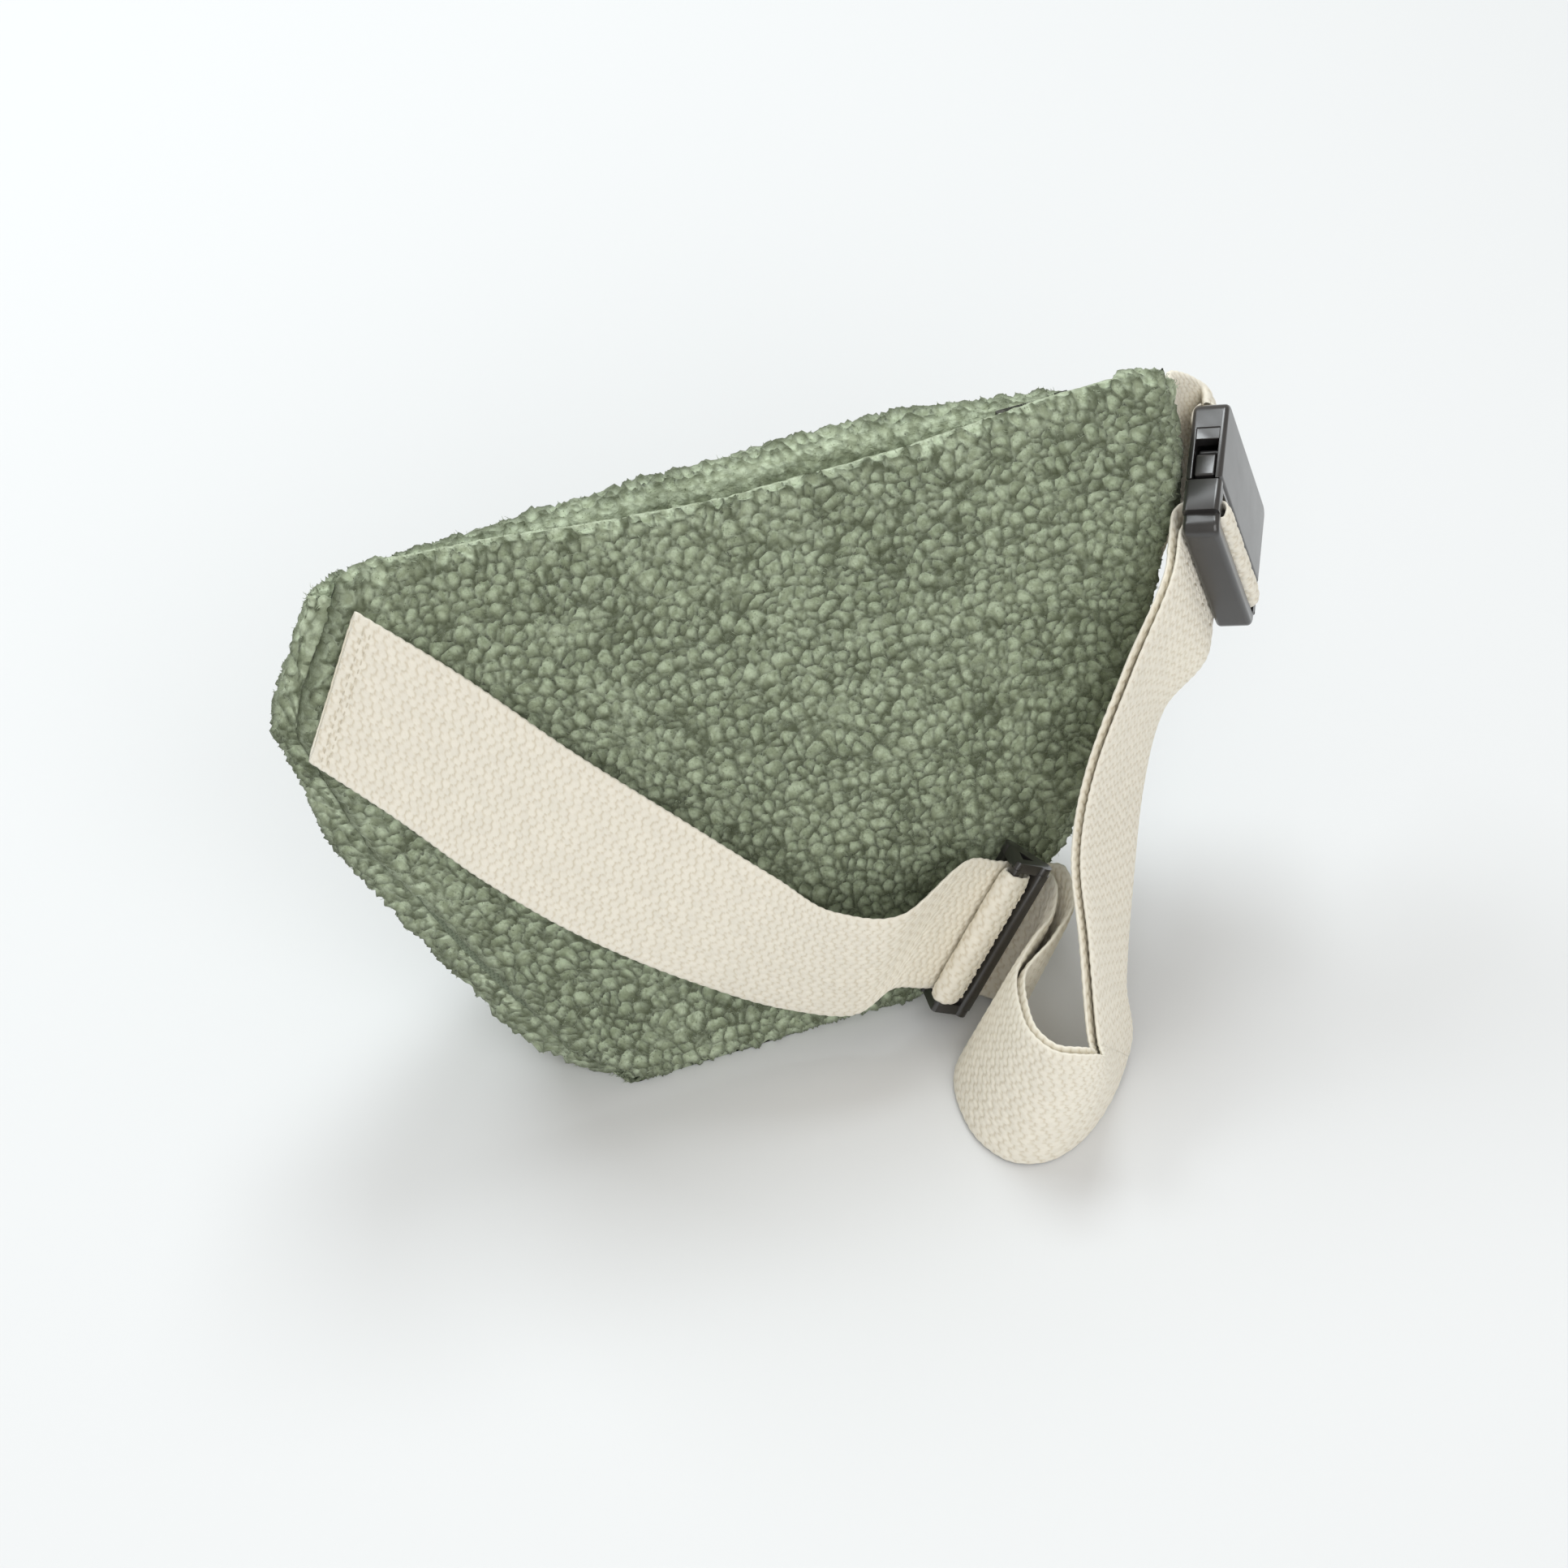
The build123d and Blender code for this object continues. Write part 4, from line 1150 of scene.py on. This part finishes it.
@dataclass
class Belt:
    """The long run, the two layers of the loop, and the short tab."""

    width: float = 38.0
    layer_step: float = 2.2
    long_run: tuple = (
        ((-99.5, 1.6, 115.0), (-83.5, 10.2, 147.0)), ((-84.6, -3.6, 96.7), (-65.2, 4.0, 127.5)),
        ((-66.3, -10.0, 72.1), (-43.0, -4.8, 101.6)),
        ((-46.3, -16.6, 50.6), (-21.6, -13.6, 79.3)), ((-23.0, -22.8, 30.7), (-3.2, -24.8, 63.2)),
        ((-2.0, -27.5, 16.0), (9.6, -31.2, 52.0)), ((14.0, -32.0, 11.5), (25.0, -34.0, 47.8)))
    slack: tuple = (
        ((54.6, -30.4, 0.7), (70.4, -25.4, 35.8)), ((54.4, -38.0, 0.5), (68.4, -36.0, 36.4)),
        ((47.0, -44.8, 0.5), (60.4, -44.0, 36.6)))
    sewn: tuple = (
        ((50.9, -33.4, 1.5), (66.7, -29.2, 36.0)), ((48.4, -38.4, 0.6), (62.4, -37.6, 36.2)),
        ((42.4, -42.6, 0.5), (56.0, -42.4, 36.2)))
    bend: tuple = (
        ((34.5, -50.0, 0.4), (48.5, -50.5, 35.4)), ((31.6, -60.5, 0.4), (44.8, -60.0, 35.8)),
        ((32.6, -70.5, 0.4), (44.0, -68.0, 36.3)), ((37.5, -77.5, 0.4), (46.6, -74.4, 36.7)),
        ((45.5, -79.5, 0.4), (51.0, -77.6, 37.5)), ((54.5, -76.5, 0.4), (54.2, -78.6, 37.0)),
        ((64.0, -69.5, 0.6), (55.6, -78.2, 34.8)))
    rise: tuple = (
        ((72.6, -60.6, 2.4), (56.2, -74.6, 33.8)), ((76.0, -49.6, 17.0), (60.0, -58.0, 50.6)),
        ((83.4, -34.4, 35.0), (62.9, -44.6, 65.3)), ((91.1, -20.5, 52.6), (70.3, -34.1, 80.9)),
        ((99.2, -11.6, 66.6), (83.3, -23.4, 99.2)))
    tab: tuple = (
        ((102.6, 3.4, 100.6), (103.0, 12.4, 137.4)), ((111.4, 13.4, 100.4), (109.0, 20.4, 137.6)),
        ((121.4, 25.0, 97.4), (114.6, 28.2, 134.6)))

    def adjuster_station(self, along: float, lift: float = 0.0) -> Array:
        """Belt edges at a distance along the adjuster and a lift off the belt."""
        half = self.width / 2
        fitting = adjuster_frame()
        return np.stack([fitting.at(along, lift, -half), fitting.at(along, lift, half)])

    def plug_station(self, along: float, level: float) -> Array:
        """Belt edges behind the plug, lower edge first."""
        half = self.width / 2
        fitting = buckle_frame()
        return np.stack([fitting.at(half, along, level), fitting.at(-half, along, level)])

    def loop_stations(self, offset: float) -> Array:
        """One layer of the floor bend and the rise, up to the plug."""
        level = -4.2 - self.layer_step / 2 - 0.9
        ends = np.stack([self.plug_station(-6.0, level), self.plug_station(-2.1, level)])
        middle = np.concatenate([np.array(self.bend), np.array(self.rise), ends])
        return offset_path(middle, offset)

    def build(self, palette: Palette) -> None:
        """Make every stretch of webbing."""
        half_step = self.layer_step / 2
        passing = [self.adjuster_station(at) for at in (-20.0, -10.0, 0.0, 4.1, 8.0)]
        inner = BeltLayer(np.concatenate([
            np.array(self.long_run), np.stack(passing), np.array(self.slack),
            self.loop_stations(-half_step)]))
        through = inner.row_near(self.adjuster_station(6.0).mean(axis=0))
        rise_start = np.array(self.rise[0]).mean(axis=0)
        rise_end = self.plug_station(-3.0, -6.2).mean(axis=0)
        up = inner.row_near(rise_start)
        last = len(inner.path) - 1
        dress = (Slot.WEBBING, palette.webbing)
        long_run = merge_surfaces("webbing_long_run", [inner.cut(0, through, True)])
        place_piece(long_run, Body.BAG, *dress, ("strap_long_run", "strap_through_adjuster"))
        loop = merge_surfaces("webbing_inner_loop", [inner.cut(through, up)])
        place_piece(loop, Body.BAG, *dress, ("strap_slack_curl", "strap_inner_bend"))
        rising = merge_surfaces("webbing_inner_rise", [inner.cut(up, last)])
        blend_piece(rising, Body.PLUG, *dress, ("strap_inner_rise",), rise_start, rise_end)

        start = [self.adjuster_station(at, self.layer_step) for at in (2.9, 4.4, 6.0)]
        outer = BeltLayer(np.concatenate([
            np.stack(start), np.array(self.sewn), self.loop_stations(half_step)]))
        up = outer.row_near(rise_start)
        last = len(outer.path) - 1
        loop = merge_surfaces("webbing_outer_loop", [outer.cut(0, up)])
        blend_piece(loop, Body.ADJUSTER, *dress, ("strap_sewn_curl", "strap_outer_bend"),
                    np.array(self.bend[0]).mean(axis=0), self.adjuster_station(5.0).mean(axis=0))
        rising = merge_surfaces("webbing_outer_rise", [outer.cut(up, last)])
        blend_piece(rising, Body.PLUG, *dress, ("strap_outer_rise",), rise_start, rise_end)

        tab = BeltLayer(self.tab_stations(), thickness=2.8)
        tab_piece = merge_surfaces("webbing_tab", [tab.cut(0, len(tab.path) - 1)])
        place_piece(tab_piece, Body.BAG, *dress, ("tab_webbing",))
        self.wraps(palette)

    def tab_stations(self) -> Array:
        """The doubled tab from the right seam to the socket's end bar."""
        fitting = buckle_frame()
        across = self.width / 2 - 0.4
        ends = [np.stack([fitting.at(across, along, level), fitting.at(-across, along, level)])
                for along, level in ((41.0, -3.0), (37.4, -2.4))]
        return np.concatenate([np.array(self.tab), np.stack(ends)])

    def wraps(self, palette: Palette) -> None:
        """Webbing turned round the plug's inner bar, the adjuster's middle bar and the tab bar."""
        fitting = buckle_frame()
        dress = (Slot.WEBBING, palette.webbing)
        under = -5.1
        route = [(-2.1, under), (1.5, under), (3.6, under + 0.5), (4.7, -2.6), (4.8, 1.0),
                 (4.9, 3.4), (5.6, 4.8), (7.3, 5.2), (9.0, 4.8), (9.8, 3.4), (9.9, 0.5),
                 (9.9, -3.2), (9.2, -5.9), (7.4, -7.15), (4.5, -7.35), (1.0, -7.3), (-2.1, -7.3)]
        stations = np.stack([self.plug_station(y, z) for y, z in route])
        turn = BeltLayer(stations, pitch=0.38, thickness=1.45)
        piece = merge_surfaces("webbing_plug_turn", [turn.cut(0, len(turn.path) - 1)])
        place_piece(piece, Body.PLUG, *dress, ("strap_plug_loop",))

        ring = adjuster_frame()
        half = self.width / 2 - 0.2
        route = [(3.0, 2.2), (0.0, 2.2), (-4.0, 2.2), (-7.6, 2.15), (-9.3, 2.9), (-9.8, 4.3),
                 (-9.2, 5.8), (-7.4, 6.45), (-5.2, 6.35), (-3.8, 5.9), (-2.9, 5.0), (-2.6, 4.0)]
        stations = np.stack([
            np.stack([ring.at(x, y, -half), ring.at(x, y, half)]) for x, y in route])
        fold = BeltLayer(stations, pitch=0.38, thickness=1.45)
        piece = merge_surfaces("webbing_sewn_end", [fold.cut(0, len(fold.path) - 1)])
        place_piece(piece, Body.ADJUSTER, *dress, ("strap_sewn_end",))

        route = [(37.4, -3.6), (35.8, -4.9), (33.5, -5.25), (31.6, -4.6), (30.9, -2.6),
                 (31.2, -0.6), (32.4, 0.35), (34.2, 0.45), (36.0, -0.1), (37.4, -1.2)]
        across = self.width / 2 - 0.4
        stations = np.stack([
            np.stack([fitting.at(across, y, z), fitting.at(-across, y, z)]) for y, z in route])
        bar = BeltLayer(stations, pitch=0.38, thickness=1.45)
        piece = merge_surfaces("webbing_tab_turn", [bar.cut(0, len(bar.path) - 1)])
        place_piece(piece, Body.BAG, *dress, ("tab_loop",))


# ----------------------------------------------------------------- stitching
@dataclass
class StitchRow:
    """A row of thread stitches, each a small closed bead laid along the row.

    Attributes:
        starts: Where each stitch goes in, stitches x 3.
        ends: Where each comes out.
        lift: Outward direction for the bow of each stitch.
        radius: Thread radius, in millimetres.
    """

    starts: Array
    ends: Array
    lift: Array
    radius: float = 0.24

    def surfaces(self) -> list[GridSurface]:
        """A bead per stitch: a round profile carried on a shallow arc and pinched at its ends."""
        share = np.linspace(0.0, 1.0, 6)
        angle = np.linspace(0.0, 2 * math.pi, 7)[:-1]
        made = []
        for start, end in zip(self.starts, self.ends):
            middle = start + (end - start) * share[:, None]
            middle = middle + self.lift * (np.sin(share * math.pi) * self.radius * 1.2)[:, None]
            size = self.radius * np.sqrt(np.clip(1 - (2 * share - 1) ** 4, 0.02, 1.0))
            side = unit(np.cross(end - start, self.lift))
            ring = (np.cos(angle)[None, :, None] * side + np.sin(angle)[None, :, None] * self.lift)
            points = middle[:, None, :] + ring * size[:, None, None]
            made.append(GridSurface(points, wrap=True, capped=True))
        return made


def stitch_line(start: Array, end: Array, count: int, fill: float = 0.62) -> tuple[Array, Array]:
    """Start and end points of evenly spaced stitches along a straight line."""
    firsts = np.linspace(0.0, 1.0, count, endpoint=False)
    step = (1.0 / count) * fill
    return start + (end - start) * firsts[:, None], start + (end - start) * (firsts + step)[:, None]


@dataclass
class Stitching:
    """The belt's visible thread."""

    def build(self, palette: Palette) -> None:
        """Sew the belt into the left seam and the turned end to itself."""
        ring = adjuster_frame()
        rows = []
        for along, lift in ((-4.1, 6.75), (-5.6, 7.1)):
            first, last = stitch_line(ring.at(along, lift, -16.8), ring.at(along, lift, 16.8), 15)
            rows += StitchRow(first, last, ring.y_axis).surfaces()
        piece = merge_surfaces("stitching_sewn_end", rows)
        place_piece(piece, Body.ADJUSTER, Slot.THREAD, palette.thread, ("sewn_end_stitching",))

        belt = Belt()
        layer = BeltLayer(np.array(belt.long_run))
        rows = []
        for at in (2.6, 4.4):
            index = int(np.searchsorted(layer.length, at))
            low, high = layer.path[index]
            run = layer.path[index + 1].mean(axis=0) - layer.path[index].mean(axis=0)
            facing = unit(np.cross(run, high - low))
            if facing[1] > 0:
                facing = -facing
            low, high = low + (high - low) * 0.05, low + (high - low) * 0.95
            first, last = stitch_line(low + facing * 0.85, high + facing * 0.85, 16)
            rows += StitchRow(first, last, facing, 0.16).surfaces()
        piece = merge_surfaces("stitching_belt_anchor", rows)
        place_piece(piece, Body.BAG, Slot.THREAD, palette.thread, ("strap_anchor_stitching",))


# ---------------------------------------------------------------------- zip
@dataclass
class Zip:
    """The zip's tapes, coils, stops, slider and pull."""

    left: float = -72.0
    right: float = 94.0
    height: float = 143.0
    depth: float = 9.2
    coil: float = 1.8
    gap: float = 1.2
    tooth_pitch: float = 1.5

    def coil_surface(self, side: int) -> GridSurface:
        """One coil: a round wire carried on a flat helix.

        along = left + pitch * turns, with depth and height going round an oval once a turn.
        """
        teeth = int((self.right - self.left - 7.0) / self.tooth_pitch)
        turn = np.linspace(0.0, teeth * 2 * math.pi, teeth * 10 + 1)
        centre = self.depth + side * (self.gap / 2 + self.coil / 2)
        along = self.left + 3.5 + turn / (2 * math.pi) * self.tooth_pitch
        depth = centre + side * 0.62 * np.cos(turn)
        height = self.height + 0.62 * np.sin(turn)
        middle = on_panel(along, height, depth)
        run = unit(np.gradient(middle, axis=0))
        out = unit(middle - on_panel(along, self.height + 0 * along, centre + 0 * along))
        other = unit(np.cross(run, out))
        angle = np.linspace(0.0, 2 * math.pi, 7)[:-1]
        ring = (np.cos(angle)[None, :, None] * out[:, None, :]
                + np.sin(angle)[None, :, None] * other[:, None, :])
        return GridSurface(middle[:, None, :] + ring * 0.27, wrap=True, capped=True)

    def build(self, palette: Palette) -> None:
        """Make the coils, and dress the carried parts."""
        for side, label in ((-1, "rear"), (1, "front")):
            piece = merge_surfaces(f"zip_teeth_{label}", [self.coil_surface(side)])
            node = f"zip_coil_{label}"
            place_piece(piece, Body.BAG, Slot.COIL, palette.coil, (node,))
            dress_node(f"zip_tape_{label}", palette.tape)
        for node in ("zip_stop_open_end", "zip_stop_closed_end"):
            rounded_copy(node, f"{node}_cast", 0.35, Body.BAG, Slot.METAL, palette.metal)
        rounded_copy("zip_slider", "zip_slider_cast", 0.25, Body.SLIDER, Slot.METAL,
                     palette.metal)
        rounded_copy("zip_pull", "zip_pull_cast", 0.3, Body.PULL, Slot.METAL, palette.metal)


# ----------------------------------------------------------------- fittings
def rounded_copy(node: str, name: str, radius: float, body: Body, slot: Slot,
                 material: Material) -> Object:
    """A copy of a carried node with its sharp edges rolled over.

    Args:
        node: The carried node.
        name: The new piece's name.
        radius: Edge radius, in millimetres.
        body: The body it rides on.
        slot: Its material slot; not used.
        material: Its finish.

    Returns:
        The rounded piece, which stands for the node.
    """
    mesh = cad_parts[node].data.copy()
    mesh.name = name
    shape = bmesh.new()
    shape.from_mesh(mesh)
    bmesh.ops.remove_doubles(shape, verts=shape.verts, dist=1e-6)
    bmesh.ops.dissolve_limit(shape, angle_limit=math.radians(1.0), verts=shape.verts,
                             edges=shape.edges)
    shape.to_mesh(mesh)
    shape.free()
    mesh.polygons.foreach_set("use_smooth", np.ones(len(mesh.polygons), bool))
    piece = bpy.data.objects.new(name, mesh)
    bpy.context.scene.collection.objects.link(piece)
    bevel = piece.modifiers.new("rolled_edges", "BEVEL")
    bevel.width = radius * MM
    bevel.segments = 3
    bevel.limit_method = "ANGLE"
    bevel.angle_limit = math.radians(32.0)
    bevel.harden_normals = True
    return place_piece(piece, body, slot, material, (node,))


@dataclass
class Fittings:
    """The adjuster and the two halves of the buckle."""

    def build(self, palette: Palette) -> None:
        """Round the moulded edges and dress them in black plastic."""
        moulded = (
            ("adjuster_frame", "adjuster_moulding", 1.1, Body.ADJUSTER),
            ("buckle_plug", "plug_moulding", 1.3, Body.PLUG),
            ("buckle_socket", "socket_moulding", 0.9, Body.BAG),
            ("latch_arm_lower", "latch_lower_moulding", 0.5, Body.LATCH_LOWER),
            ("latch_arm_upper", "latch_upper_moulding", 0.5, Body.LATCH_UPPER),
        )
        for node, name, radius, body in moulded:
            rounded_copy(node, name, radius, body, Slot.PLASTIC, palette.plastic)


# -------------------------------------------------------------------- studio
@dataclass
class Studio:
    """Floor, lights and camera, in metres.

    Attributes:
        camera_at: Where the camera stands.
        looks_at: The point it faces.
        lens: Its focal length, in millimetres.
        sky: Colour of the room's own light.
        sky_strength: Its strength.
        lights: Each soft box's name, place, size, power in watts and colour.
        floor_reach: Half the floor's width.
    """

    camera_at: tuple = (-0.18588, -0.43470, 0.63030)
    looks_at: tuple = (-0.01132, 0.02003, 0.060)
    lens: float = 73.37
    sky: tuple = (1.0, 0.955, 0.88)
    sky_strength: float = 0.47
    lights: tuple = (
        ("key_light", (0.25, 0.70, 1.50), 0.6, 9.6, (0.92, 0.975, 1.0)),
        ("window_light", (-0.46, 0.72, 1.05), 0.5, 5.2, (0.92, 0.975, 1.0)),
        ("fill_light", (-0.12, -1.05, 1.00), 1.2, 8.6, (0.98, 0.99, 1.0)))
    floor_reach: float = 3.0

    def build(self) -> None:
        """Set up the floor, the soft light and the camera."""
        edge = np.array([-self.floor_reach, self.floor_reach])
        x, y = np.meshgrid(edge, edge, indexing="ij")
        points = np.stack([x, y, np.zeros_like(x)], -1) / MM - LAYOUT_SHIFT
        floor = merge_surfaces("floor", [GridSurface(points)])
        floor.data.materials.append(FloorFinish().make())
        world = bpy.data.worlds.new("soft_room")
        world.use_nodes = True
        background = world.node_tree.nodes["Background"]
        background.inputs["Color"].default_value = (*self.sky, 1.0)
        background.inputs["Strength"].default_value = self.sky_strength
        bpy.context.scene.world = world
        for name, place, size, power, colour in self.lights:
            self.soft_light(name, place, size, power, colour)
        bpy.context.scene.view_settings.view_transform = "Standard"
        data = bpy.data.cameras.new("camera")
        data.lens = self.lens
        data.sensor_width = 36.0
        camera = bpy.data.objects.new("camera", data)
        bpy.context.scene.collection.objects.link(camera)
        camera.location = self.camera_at
        aim_object(camera, self.looks_at)
        bpy.context.scene.camera = camera

    def soft_light(self, name: str, place: tuple, size: float, power: float,
                   colour: tuple) -> None:
        """A square soft box aimed at the bag."""
        data = bpy.data.lights.new(name, "AREA")
        data.shape = "SQUARE"
        data.size = size
        data.energy = power
        data.color = colour
        light = bpy.data.objects.new(name, data)
        bpy.context.scene.collection.objects.link(light)
        light.location = place
        aim_object(light, (0.0, 0.0, 0.05))


def aim_object(thing: Object, target: tuple) -> None:
    """Turn a camera or a light to face a point, with its top upward."""
    way = Vector(target) - thing.location
    thing.rotation_mode = "QUATERNION"
    thing.rotation_quaternion = way.to_track_quat("-Z", "Y")


def main() -> None:
    """Build the bag in order."""
    logging.basicConfig(level=logging.INFO, format="%(message)s")
    Studio().build()
    palette = Palette()
    for part in (FleeceBag(), Belt(), Stitching(), Zip(), Fittings()):
        part.build(palette)
        log.info("%s done", type(part).__name__)


if __name__ == "__main__":
    main()
